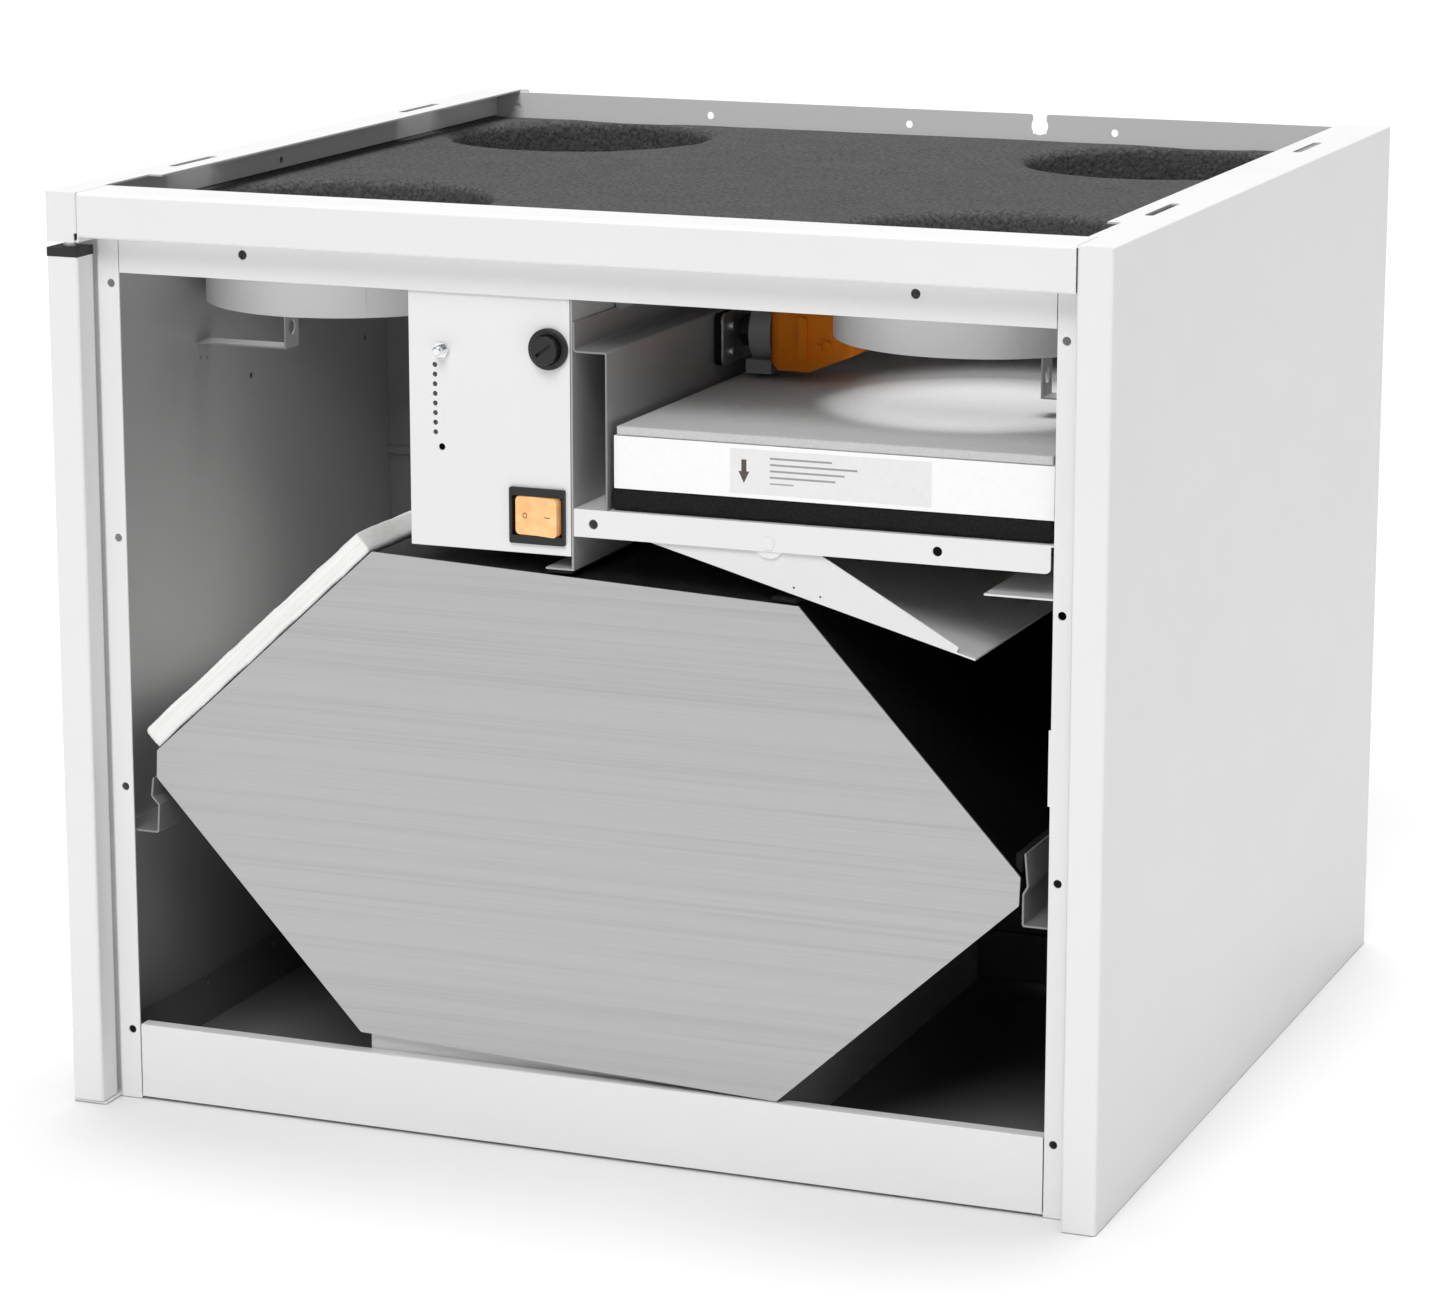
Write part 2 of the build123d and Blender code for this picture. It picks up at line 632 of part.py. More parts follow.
with BuildPart() as extract_filter:
    with BuildSketch(exchanger_plane(CORE_Y + 0.4)):
        face_angle = math.degrees(math.atan2(EXCHANGER_HALF_H - EXCHANGER_SIDE_HALF, 128.1))
        lift = MAT_THICK / 2 + 0.4
        middle = (
            -face_middle_x - lift * math.sin(math.radians(face_angle)),
            face_middle_z + lift * math.cos(math.radians(face_angle)),
        )
        with Locations(middle):
            Rectangle(face_long - 1, MAT_THICK, rotation=face_angle)
    extrude(amount=-(EXCHANGER_LENGTH - 1))
save(extract_filter.part, "extract_filter")

# --- Filter shelf, side guide, gasket and the supply filter cassette

SHELF_HOLES = [(11.8, 348.8), (202.4, 348.8)]
WINDOW_X = (40.0, 245.0)
WINDOW_Y = (45.0, 350.0)

with BuildPart() as filter_shelf:
    block((0.7, INNER_X - 0.2), (CORE_Y, PARTITION_Y - 2.7), (SHELF_Z - SHEET, SHELF_Z))
    flange_z = (SHELF_Z - SHELF_FLANGE, SHELF_Z)
    block((0.7, SHELF_RIGHT), (CORE_Y, CORE_Y + SHEET), flange_z)
    block(WINDOW_X, WINDOW_Y, flange_z, mode=Mode.SUBTRACT)
    hole_through(upright(CORE_Y), SHELF_HOLES, PANEL_SCREW_R, 2)
    hole_through(upright(CORE_Y), [(PIVOT_X, PIVOT_Z)], PIVOT_R, 2)
    low_corner = filter_shelf.edges().filter_by(Axis.Y).group_by(Axis.Z)[0].sort_by(Axis.X)[-1]
    fillet(low_corner, 3)
save(filter_shelf.part, "filter_shelf")

with BuildPart() as filter_guide:
    with BuildSketch(upright(CORE_Y)):
        folded_profile(
            [(1.7, 455.3), (1.7, GUIDE_STEP_Z), (GUIDE_X, GUIDE_STEP_Z), (GUIDE_X, SHELF_Z + 0.2)],
            Side.RIGHT,
            bend=1.5,
        )
    extrude(amount=-(PARTITION_Y - 3 - CORE_Y))
    hole_through(sideways(GUIDE_X), [(ACTUATOR_Y, ACTUATOR_Z)], ACTUATOR_SHAFT_R + 1, 3)
save(filter_guide.part, "filter_guide")

with BuildPart() as filter_gasket:
    gasket_z = (SHELF_Z, CASSETTE_BOTTOM - 0.3)
    block((GUIDE_X + 0.6, CASSETTE_RIGHT), (CASSETTE_FRONT, CASSETTE_BACK), gasket_z)
    block(WINDOW_X, WINDOW_Y, gasket_z, mode=Mode.SUBTRACT)
save(filter_gasket.part, "filter_gasket")

FRAME_WALL = 8.0

with BuildPart() as supply_filter_frame:
    frame_z = (CASSETTE_BOTTOM, CASSETTE_TOP)
    block((CASSETTE_LEFT, CASSETTE_RIGHT), (CASSETTE_FRONT, CASSETTE_BACK), frame_z)
    inner_x = (CASSETTE_LEFT + FRAME_WALL, CASSETTE_RIGHT - FRAME_WALL)
    inner_y = (CASSETTE_FRONT + FRAME_WALL, CASSETTE_BACK - FRAME_WALL)
    block(inner_x, inner_y, frame_z, mode=Mode.SUBTRACT)
save(supply_filter_frame.part, "supply_filter_frame")

PLEATS = 24

with BuildPart() as supply_filter_media:
    pleat = (inner_x[1] - inner_x[0] - 0.4) / (2 * PLEATS)
    fold_z = (CASSETTE_BOTTOM + 1.5, CASSETTE_TOP - 1.5)
    folds = [(inner_x[0] + 0.2 + i * pleat, fold_z[i % 2]) for i in range(2 * PLEATS + 1)]
    with BuildSketch(upright(inner_y[0] + 0.2)):
        with BuildLine():
            Polyline(*folds, *[(x, z - 1.3) for x, z in reversed(folds)], close=True)
        make_face()
    extrude(amount=-(inner_y[1] - inner_y[0] - 0.4))
save(supply_filter_media.part, "supply_filter_media")

with BuildPart() as prefilter_mat:
    mat_z = (CASSETTE_TOP, CASSETTE_TOP + PREFILTER)
    mat_x = (CASSETTE_LEFT + 1.2, CASSETTE_RIGHT - 1)
    block(mat_x, (CASSETTE_FRONT + 0.5, CASSETTE_BACK - 1), mat_z)
save(prefilter_mat.part, "prefilter_mat")

# --- Bypass flap, its pivots and its seat

FLAP_START = (43.6, 341.0)
FLAP_END = (222.6, 292.8)

with BuildPart() as bypass_flap:
    with BuildSketch(upright(FLAP_FRONT)):
        with BuildLine():
            Polyline(
                FLAP_START,
                FLAP_END,
                (FLAP_END[0], FLAP_END[1] + SHEET),
                (FLAP_START[0], FLAP_START[1] + SHEET),
                close=True,
            )
        make_face()
    extrude(amount=-(FLAP_BACK - FLAP_FRONT))
    for gusset_y in (FLAP_FRONT, FLAP_BACK - SHEET):
        with BuildSketch(upright(gusset_y)):
            with BuildLine():
                Polyline(FLAP_START, (212.3, 295.8), (213.6, 299.1), (122, 350.4), (104, 352), close=True)
            make_face()
            with Locations((PIVOT_X, PIVOT_Z)):
                Circle(PIVOT_R + RUNNING, mode=Mode.SUBTRACT)
        extrude(amount=-SHEET)
    hole_through(upright(FLAP_FRONT), [(123.3, 323.2), (137.9, 319.4)], 0.6, 1.5)
save(bypass_flap.part, "bypass_flap")

with BuildPart() as flap_pivots:
    for start, length, radius in (
        (CORE_Y - 0.8, 0.8, 3.4),
        (CORE_Y, 6.5, PIVOT_R),
        (CORE_Y + SHEET, 1.2, 8.3),
        (FLAP_BACK - 3, PARTITION_Y - 2.5 - FLAP_BACK + 4.5, PIVOT_R),
        (FLAP_BACK + 0.4, 2.6, 5.0),
    ):
        with BuildSketch(upright(start)):
            with Locations((PIVOT_X, PIVOT_Z)):
                Circle(radius)
        extrude(amount=-length)
save(flap_pivots.part, "flap_pivots")

with BuildPart() as flap_seat:
    seat_depth = (CORE_Y, PARTITION_Y - 2.7)
    block((227.6, INNER_X - 0.1), seat_depth, (LEDGE_Z, LEDGE_Z + SHEET))
    block((INNER_X - 1.1, INNER_X - 0.1), seat_depth, (LEDGE_Z, LEDGE_Z + 13))
save(flap_seat.part, "flap_seat")

# --- Electronics box with its board, lamps, fuse, door switch and rocker switch

BOX_TOP = ROOF_Z - 0.4
LED_POINTS = [(LED_X, LED_TOP - i * LED_PITCH) for i in range(LED_COUNT)]
KEY_HOLE = (-75.0, 384.4)
ROCKER_HOLE = (30.4, 24.0)

with BuildPart() as electronics_box:
    box_y = (CORE_Y, CORE_Y + BOX_DEPTH)
    block((BOX_LEFT, BOX_RIGHT), box_y, (BOX_BOTTOM, BOX_TOP))
    hollow_x = (BOX_LEFT + SHEET, BOX_RIGHT - SHEET)
    hollow_y = (CORE_Y + SHEET, CORE_Y + BOX_DEPTH - SHEET)
    block(hollow_x, hollow_y, (BOX_BOTTOM + SHEET, BOX_TOP), mode=Mode.SUBTRACT)
    hole_through(upright(CORE_Y), LED_POINTS, 1.4, SHEET)
    hole_through(upright(CORE_Y), [KEY_HOLE], 1.9, SHEET)
    hole_through(upright(CORE_Y), [(FUSE_X, FUSE_Z)], 6.5, SHEET)
    hole_through(upright(CORE_Y), [(PLUNGER_X, PLUNGER_Z)], 3.6, SHEET)
    with BuildSketch(upright(CORE_Y)):
        with Locations((ROCKER_X, ROCKER_Z)):
            Rectangle(*ROCKER_HOLE)
    extrude(amount=-SHEET, mode=Mode.SUBTRACT)
save(electronics_box.part, "electronics_box")

BOARD_Y = CORE_Y + 9

with BuildPart() as control_board:
    block((-88, -8), (BOARD_Y, BOARD_Y + 1.6), (376, 452))
    block((-60, -30), (BOARD_Y + 1.6, BOARD_Y + 18), (400, 425))
    hole_through(upright(BOARD_Y), [(FUSE_X, FUSE_Z)], 9, 3)
    hole_through(upright(BOARD_Y), [(PLUNGER_X, PLUNGER_Z)], 6, 3)
save(control_board.part, "control_board")

with BuildPart() as indicator_leds:
    for led in LED_POINTS:
        with BuildSketch(upright(CORE_Y + 0.7)):
            with Locations(led):
                Circle(1.2)
        extrude(amount=-(BOARD_Y - CORE_Y - 0.7))
save(indicator_leds.part, "indicator_leds")

with BuildPart() as fuse_holder:
    with BuildSketch(upright(CORE_Y - 3)):
        with Locations((FUSE_X, FUSE_Z)):
            Circle(11)
            Circle(8.2, mode=Mode.SUBTRACT)
    extrude(amount=-3)
    with BuildSketch(upright(CORE_Y - 0.6)):
        with Locations((FUSE_X, FUSE_Z)):
            Circle(8.4)
    extrude(amount=-0.6)
    with BuildSketch(upright(CORE_Y)):
        with Locations((FUSE_X, FUSE_Z)):
            Circle(6.4)
    extrude(amount=-34)
    fillet(fuse_holder.edges().filter_by(GeomType.CIRCLE).group_by(Axis.Y)[0].sort_by(SortBy.RADIUS)[-1], 1)
save(fuse_holder.part, "fuse_holder")

CAP_Y = CORE_Y - 8

with BuildPart() as fuse_cap:
    with BuildSketch(upright(CAP_Y)):
        with Locations((FUSE_X, FUSE_Z)):
            Circle(7.6)
    extrude(amount=-7.2)
    fillet(fuse_cap.edges().filter_by(GeomType.CIRCLE).group_by(Axis.Y)[0], 0.8)
    with BuildSketch(upright(CAP_Y)):
        with Locations((FUSE_X, FUSE_Z)):
            Rectangle(10, 1.6, rotation=35)
            with PolarLocations(7.9, 12):
                Circle(0.7)
    extrude(amount=-2, mode=Mode.SUBTRACT)
save(fuse_cap.part, "fuse_cap")

PLUNGER_R = 2.6
NUT_R = 4.4

with BuildPart() as door_switch_bush:
    with BuildSketch(upright(CORE_Y - 2.5)):
        with Locations((PLUNGER_X, PLUNGER_Z)):
            RegularPolygon(NUT_R, 6)
    extrude(amount=-2.5)
    with BuildSketch(upright(CORE_Y)):
        with Locations((PLUNGER_X, PLUNGER_Z)):
            Circle(3.5)
    extrude(amount=-14)
    with BuildSketch(upright(CORE_Y - 2.5)):
        with Locations((PLUNGER_X, PLUNGER_Z)):
            Circle(PLUNGER_R + RUNNING)
    extrude(amount=-16.5, mode=Mode.SUBTRACT)
save(door_switch_bush.part, "door_switch_bush")

with BuildPart() as door_switch_plunger:
    with BuildSketch(upright(CORE_Y - 8)):
        with Locations((PLUNGER_X, PLUNGER_Z)):
            Circle(PLUNGER_R)
    extrude(amount=-20)
    fillet(door_switch_plunger.edges().filter_by(GeomType.CIRCLE).group_by(Axis.Y)[0], 1)
save(door_switch_plunger.part, "door_switch_plunger")

BEZEL = (32.0, 30.0)
BEZEL_PROUD = 1.8
ROCKER_SIZE = (25.4, 20.6)
ROCKER_PIVOT_Y = CORE_Y + 4
TRUNNION_R = 1.5

with BuildPart() as rocker_bezel:
    with BuildSketch(upright(CORE_Y - BEZEL_PROUD)):
        with Locations((ROCKER_X, ROCKER_Z)):
            RectangleRounded(*BEZEL, 1)
    extrude(amount=-BEZEL_PROUD)
    with BuildSketch(upright(CORE_Y)):
        with Locations((ROCKER_X, ROCKER_Z)):
            Rectangle(ROCKER_HOLE[0] - 0.3, ROCKER_HOLE[1] - 0.3)
    extrude(amount=-22)
    with BuildSketch(upright(CORE_Y - BEZEL_PROUD)):
        with Locations((ROCKER_X, ROCKER_Z)):
            Rectangle(ROCKER_SIZE[0] + 3.4, ROCKER_SIZE[1] + 0.7)
    extrude(amount=-16, mode=Mode.SUBTRACT)
    hole_through(plan(ROCKER_Z), [(ROCKER_X, ROCKER_PIVOT_Y)], TRUNNION_R + RUNNING, 14)
save(rocker_bezel.part, "rocker_bezel")

with BuildPart() as rocker_switch:
    half = ROCKER_SIZE[0] / 2
    with BuildSketch(plan(ROCKER_Z - ROCKER_SIZE[1] / 2)):
        with BuildLine():
            Polyline(
                (ROCKER_X + half, CORE_Y - 5.2),
                (ROCKER_X, CORE_Y - 1.6),
                (ROCKER_X - half, CORE_Y - 0.9),
                (ROCKER_X - half, CORE_Y + 3),
                (ROCKER_X - 4, ROCKER_PIVOT_Y + 4),
                (ROCKER_X + 4, ROCKER_PIVOT_Y + 4),
                (ROCKER_X + half, CORE_Y + 1),
                close=True,
            )
        make_face()
    extrude(amount=ROCKER_SIZE[1])
    fillet(rocker_switch.edges().filter_by(Axis.Y), 2.6)
    with BuildSketch(plan(ROCKER_Z)):
        with Locations((ROCKER_X, ROCKER_PIVOT_Y)):
            Circle(TRUNNION_R)
    extrude(amount=ROCKER_SIZE[1] / 2 + 1.3, both=True)
save(rocker_switch.part, "rocker_switch")

# --- Flap actuator on the guide wall

ACTUATOR_WALL = GUIDE_X + 0.1
GASKET_X = ACTUATOR_WALL + 4.6
BRACKET_X = GASKET_X + 1.2
SHAFT_POINT = (ACTUATOR_Y, ACTUATOR_Z)
PAD_SIZE = (58.0, 29.0)
PAD_CENTRE = (ACTUATOR_Y - 1, ACTUATOR_Z - 2)
PAD_SCREWS = (ACTUATOR_Y + 2, PAD_CENTRE[1] - 0.8)


def along_x(x, radius, length, mode=Mode.ADD):
    """Disc or bore on the actuator's shaft axis."""
    with BuildSketch(sideways(x)) as disc:
        with Locations(SHAFT_POINT):
            Circle(radius)
    extrude(disc.sketch, amount=length, mode=mode)


def actuator_pad(x, thick):
    """Rounded rectangle plate behind the actuator, with a hole for the shaft."""
    with BuildPart() as pad:
        with BuildSketch(sideways(x)):
            with Locations(PAD_CENTRE):
                RectangleRounded(*PAD_SIZE, 4)
        extrude(amount=thick)
        along_x(x, ACTUATOR_SHAFT_R + 1, thick, mode=Mode.SUBTRACT)
    return pad.part


save(actuator_pad(ACTUATOR_WALL, 4.6), "actuator_gasket")
save(actuator_pad(GASKET_X, 1.2), "actuator_plate")

with BuildPart() as actuator_screws:
    with BuildSketch(sideways(BRACKET_X)):
        with Locations(PAD_SCREWS):
            with GridLocations(40, 14.5, 2, 2):
                Circle(2.6)
    extrude(amount=1.8)
    fillet(actuator_screws.faces().sort_by(Axis.X)[-4:].edges(), 0.8)
save(actuator_screws.part, "actuator_screws")

CLAMP_X = BRACKET_X + 9.4
CLAMP_W = 12.4
CLAMP_R = 16.5

with BuildPart() as actuator_clamp:
    with BuildSketch(sideways(CLAMP_X)):
        with Locations(SHAFT_POINT):
            Circle(CLAMP_R)
    extrude(amount=CLAMP_W)
    block((CLAMP_X - 2.4, CLAMP_X + CLAMP_W), (ACTUATOR_Y - 14, ACTUATOR_Y + 14), (405, 412.6))
    along_x(BRACKET_X, ACTUATOR_SHAFT_R + 3, 26, mode=Mode.SUBTRACT)
save(actuator_clamp.part, "actuator_clamp")

BODY_X = CLAMP_X + CLAMP_W + 0.1
BODY_HALF = 19.0
BODY_RIGHT = 96.0
BOSS_POINTS = [(BODY_X + 30, 422.5), (BODY_X + 35.5, 424.5)]

with BuildPart() as actuator_body:
    with BuildSketch(upright(ACTUATOR_Y - BODY_HALF)):
        with BuildLine():
            Polyline(
                (BODY_X, 414),
                (BODY_X + 6, 408.5),
                (BODY_X + 24, 408.5),
                (BODY_RIGHT, 418),
                (BODY_RIGHT, 446),
                (BODY_X, 446),
                close=True,
            )
        make_face()
    extrude(amount=-2 * BODY_HALF)
    fillet(actuator_body.edges().filter_by(Axis.X).group_by(Axis.Z)[-1], 8)
    fillet(actuator_body.edges().filter_by(Axis.Z).group_by(Axis.X)[0], 7)
    with BuildSketch(upright(ACTUATOR_Y - BODY_HALF - 2.5)):
        with Locations((BODY_X + 21, 427)):
            SlotOverall(24, 5, rotation=90)
        with Locations(*BOSS_POINTS):
            Circle(2.2)
    extrude(amount=-5)
    along_x(BODY_X - 1, ACTUATOR_SHAFT_R + 3, 21, mode=Mode.SUBTRACT)
save(actuator_body.part, "actuator_body")

CRANK_X = 8.0

with BuildPart() as actuator_shaft:
    along_x(CRANK_X, ACTUATOR_SHAFT_R, BODY_X + 14 - CRANK_X)
    along_x(BRACKET_X + 2.4, ACTUATOR_SHAFT_R + 4, 6.4)
    with BuildSketch(sideways(CRANK_X)):
        with Locations((ACTUATOR_Y, ACTUATOR_Z - 11)):
            SlotOverall(32, 10, rotation=90)
    extrude(amount=3)
save(actuator_shaft.part, "actuator_shaft")

# --- Sensor brackets on the side liners

TAB_X = 221.7
BRACKET_YS = (129.0, 145.0)
ARM_Z = 412.5

with BuildPart() as sensor_brackets:
    for sign in (-1, 1):
        wall = sign * (INNER_X - 0.1)
        block((wall, wall - sign), BRACKET_YS, (396.5, ARM_Z))
        block((wall, sign * TAB_X), BRACKET_YS, (ARM_Z - SHEET, ARM_Z))
        block((sign * TAB_X, sign * (TAB_X + SHEET)), BRACKET_YS, (ARM_Z - SHEET, 434))
        hole_through(sideways(sign * TAB_X), [(137, 423)], 4.2, 3)
        hole_through(sideways(wall), [(134, 403), (141, 402)], 1.3, 3)
save(sensor_brackets.part, "sensor_brackets")

# --- Centrifugal fans behind the partition

CHUTE_TOP = 436.0
CHUTE_W = 120.0
CASING = 2.0


def fan_housing(sign):
    """Drum with an upright outlet chute, open at the top and towards the partition."""
    x = sign * FAN_X
    outer = sign * (FAN_X + FAN_DRUM_R)
    middle = (outer - sign * CHUTE_W / 2, (FAN_Z + CHUTE_TOP) / 2)
    chute_h = CHUTE_TOP - FAN_Z
    with BuildPart() as housing:
        with BuildSketch(upright(FAN_FRONT)):
            with Locations((x, FAN_Z)):
                Circle(FAN_DRUM_R)
            with Locations(middle):
                Rectangle(CHUTE_W, chute_h)
        extrude(amount=FAN_FRONT - FAN_BACK)
        with BuildSketch(upright(FAN_FRONT)):
            with Locations((x, FAN_Z)):
                Circle(FAN_DRUM_R - CASING)
            with Locations(middle):
                Rectangle(CHUTE_W - 2 * CASING, chute_h + 2)
        extrude(amount=FAN_FRONT - FAN_BACK + CASING, mode=Mode.SUBTRACT)
    return housing.part


save(fan_housing(-1), "supply_fan_housing")
save(fan_housing(1), "exhaust_fan_housing")

MOTOR_R = 60.0
MOTOR_LENGTH = 11.0
SHAFT_LENGTH = 30.0
MOTOR_Y = FAN_BACK - CASING - MOTOR_LENGTH

with BuildPart() as fan_motors:
    for sign in (-1, 1):
        with BuildSketch(upright(MOTOR_Y)):
            with Locations((sign * FAN_X, FAN_Z)):
                Circle(MOTOR_R)
        extrude(amount=-MOTOR_LENGTH)
        with BuildSketch(upright(MOTOR_Y - SHAFT_LENGTH)):
            with Locations((sign * FAN_X, FAN_Z)):
                Circle(IMPELLER_BORE)
        extrude(amount=-SHAFT_LENGTH)
save(fan_motors.part, "fan_motors")

WHEEL_FRONT = 396.0
WHEEL_DISC_Y = MOTOR_Y - 5
WHEEL_SHEET = 2.0
WHEEL_HUB = (12.0, 14.0)
BLADE_CHORD = 17.0
BLADE_ANGLE = 35.0
BLADE_GAP = 0.05


def impeller(sign):
    """Blower wheel: back disc with its hub, front ring, and separate blades between the two."""
    centre = (sign * FAN_X, FAN_Z)
    hub_r, hub_length = WHEEL_HUB
    blade_start = WHEEL_FRONT + WHEEL_SHEET + BLADE_GAP
    with BuildPart() as wheel:
        with BuildSketch(upright(WHEEL_DISC_Y)):
            with Locations(centre):
                Circle(IMPELLER_R)
        extrude(amount=-WHEEL_SHEET)
        with BuildSketch(upright(WHEEL_DISC_Y - hub_length)):
            with Locations(centre):
                Circle(hub_r)
        extrude(amount=-hub_length)
        with BuildSketch(upright(WHEEL_FRONT)):
            with Locations(centre):
                Circle(IMPELLER_R)
                Circle(IMPELLER_R - BLADE_CHORD, mode=Mode.SUBTRACT)
        extrude(amount=-WHEEL_SHEET)
        with BuildSketch(upright(blade_start)):
            with Locations(centre):
                with PolarLocations(IMPELLER_R - BLADE_CHORD / 2, BLADES):
                    Rectangle(BLADE_CHORD - 1, 1.2, rotation=sign * BLADE_ANGLE)
        extrude(amount=blade_start + BLADE_GAP - WHEEL_DISC_Y)
        with BuildSketch(upright(WHEEL_FRONT)):
            with Locations(centre):
                Circle(IMPELLER_BORE + RUNNING)
        extrude(amount=WHEEL_FRONT - MOTOR_Y, mode=Mode.SUBTRACT)
    return wheel.part


save(impeller(-1), "supply_impeller")
save(impeller(1), "exhaust_impeller")
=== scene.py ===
import bpy
import json
import math
from mathutils import Matrix, Vector, noise

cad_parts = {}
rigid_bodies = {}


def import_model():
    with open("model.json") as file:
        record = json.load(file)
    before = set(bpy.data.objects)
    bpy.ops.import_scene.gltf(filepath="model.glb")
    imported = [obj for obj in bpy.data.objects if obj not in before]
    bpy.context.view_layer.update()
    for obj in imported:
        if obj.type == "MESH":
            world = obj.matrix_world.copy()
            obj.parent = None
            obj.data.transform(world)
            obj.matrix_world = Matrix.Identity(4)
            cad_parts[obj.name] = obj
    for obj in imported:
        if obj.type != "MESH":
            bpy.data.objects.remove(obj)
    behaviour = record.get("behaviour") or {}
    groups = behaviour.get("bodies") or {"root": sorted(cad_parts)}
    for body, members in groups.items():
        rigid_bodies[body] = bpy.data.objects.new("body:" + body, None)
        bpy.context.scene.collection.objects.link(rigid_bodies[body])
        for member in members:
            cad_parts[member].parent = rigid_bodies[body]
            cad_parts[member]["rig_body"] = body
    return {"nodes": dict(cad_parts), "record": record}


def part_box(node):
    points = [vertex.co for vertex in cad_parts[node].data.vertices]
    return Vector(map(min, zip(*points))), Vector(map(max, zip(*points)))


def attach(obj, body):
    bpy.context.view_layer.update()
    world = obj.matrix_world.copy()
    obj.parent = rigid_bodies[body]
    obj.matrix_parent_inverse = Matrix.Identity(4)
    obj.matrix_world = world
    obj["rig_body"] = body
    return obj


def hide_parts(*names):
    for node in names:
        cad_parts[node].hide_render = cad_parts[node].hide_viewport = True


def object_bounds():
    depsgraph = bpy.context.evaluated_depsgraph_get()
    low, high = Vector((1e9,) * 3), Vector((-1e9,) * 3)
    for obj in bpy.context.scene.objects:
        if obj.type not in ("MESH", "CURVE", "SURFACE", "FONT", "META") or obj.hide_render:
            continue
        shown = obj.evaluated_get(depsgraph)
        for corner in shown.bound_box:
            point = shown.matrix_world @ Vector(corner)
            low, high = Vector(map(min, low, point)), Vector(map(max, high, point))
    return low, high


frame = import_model()
cad_low, cad_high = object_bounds()
NODES = frame["nodes"]
SCENE = bpy.context.scene
MM = 0.001
# Height above which the inner liner sheets are coloured white: painted light on their top rim.
PAINTED_LIGHT_RIM_Z = 490 * MM


# ---------------------------------------------------------------- camera, light and floor

def camera():
    """Camera at the viewing angle of the unit seen from the front right and slightly above."""
    data = bpy.data.cameras.new("camera")
    data.sensor_width = 36.0
    data.lens = 115.51
    data.clip_start = 0.1
    data.clip_end = 60.0
    cam = bpy.data.objects.new("camera", data)
    SCENE.collection.objects.link(cam)
    right = Vector((0.929747, 0.368200, 0.000337))
    up = Vector((-0.082132, 0.206498, 0.974994))
    back = right.cross(up)
    turn = Matrix((right, up, back)).transposed().to_4x4()
    cam.matrix_world = Matrix.Translation((0.94854, -2.45227, 0.82414)) @ turn
    SCENE.camera = cam


WORLD_STRENGTH = 0.28
SOFTBOXES = (
    ("overhead_softbox", (0.0, -0.12, -1.0), 2.55, 36.0),
    ("front_softbox", (-0.06, 0.68, -0.70), 1.55, 30.0),
)


def lights():
    """Two wide soft lamps and a dim white surround."""
    world = bpy.data.worlds.new("studio")
    world.use_nodes = True
    world.node_tree.nodes["Background"].inputs["Color"].default_value = (1.0, 1.0, 1.0, 1.0)
    world.node_tree.nodes["Background"].inputs["Strength"].default_value = WORLD_STRENGTH
    SCENE.world = world
    SCENE.view_settings.view_transform = "Standard"
    for name, towards, strength, spread in SOFTBOXES:
        data = bpy.data.lights.new(name, "SUN")
        data.energy = strength
        data.angle = math.radians(spread)
        lamp = bpy.data.objects.new(name, data)
        lamp.rotation_mode = "QUATERNION"
        lamp.rotation_quaternion = Vector(towards).to_track_quat("-Z", "Y")
        SCENE.collection.objects.link(lamp)


# ---------------------------------------------------------------- procedural materials

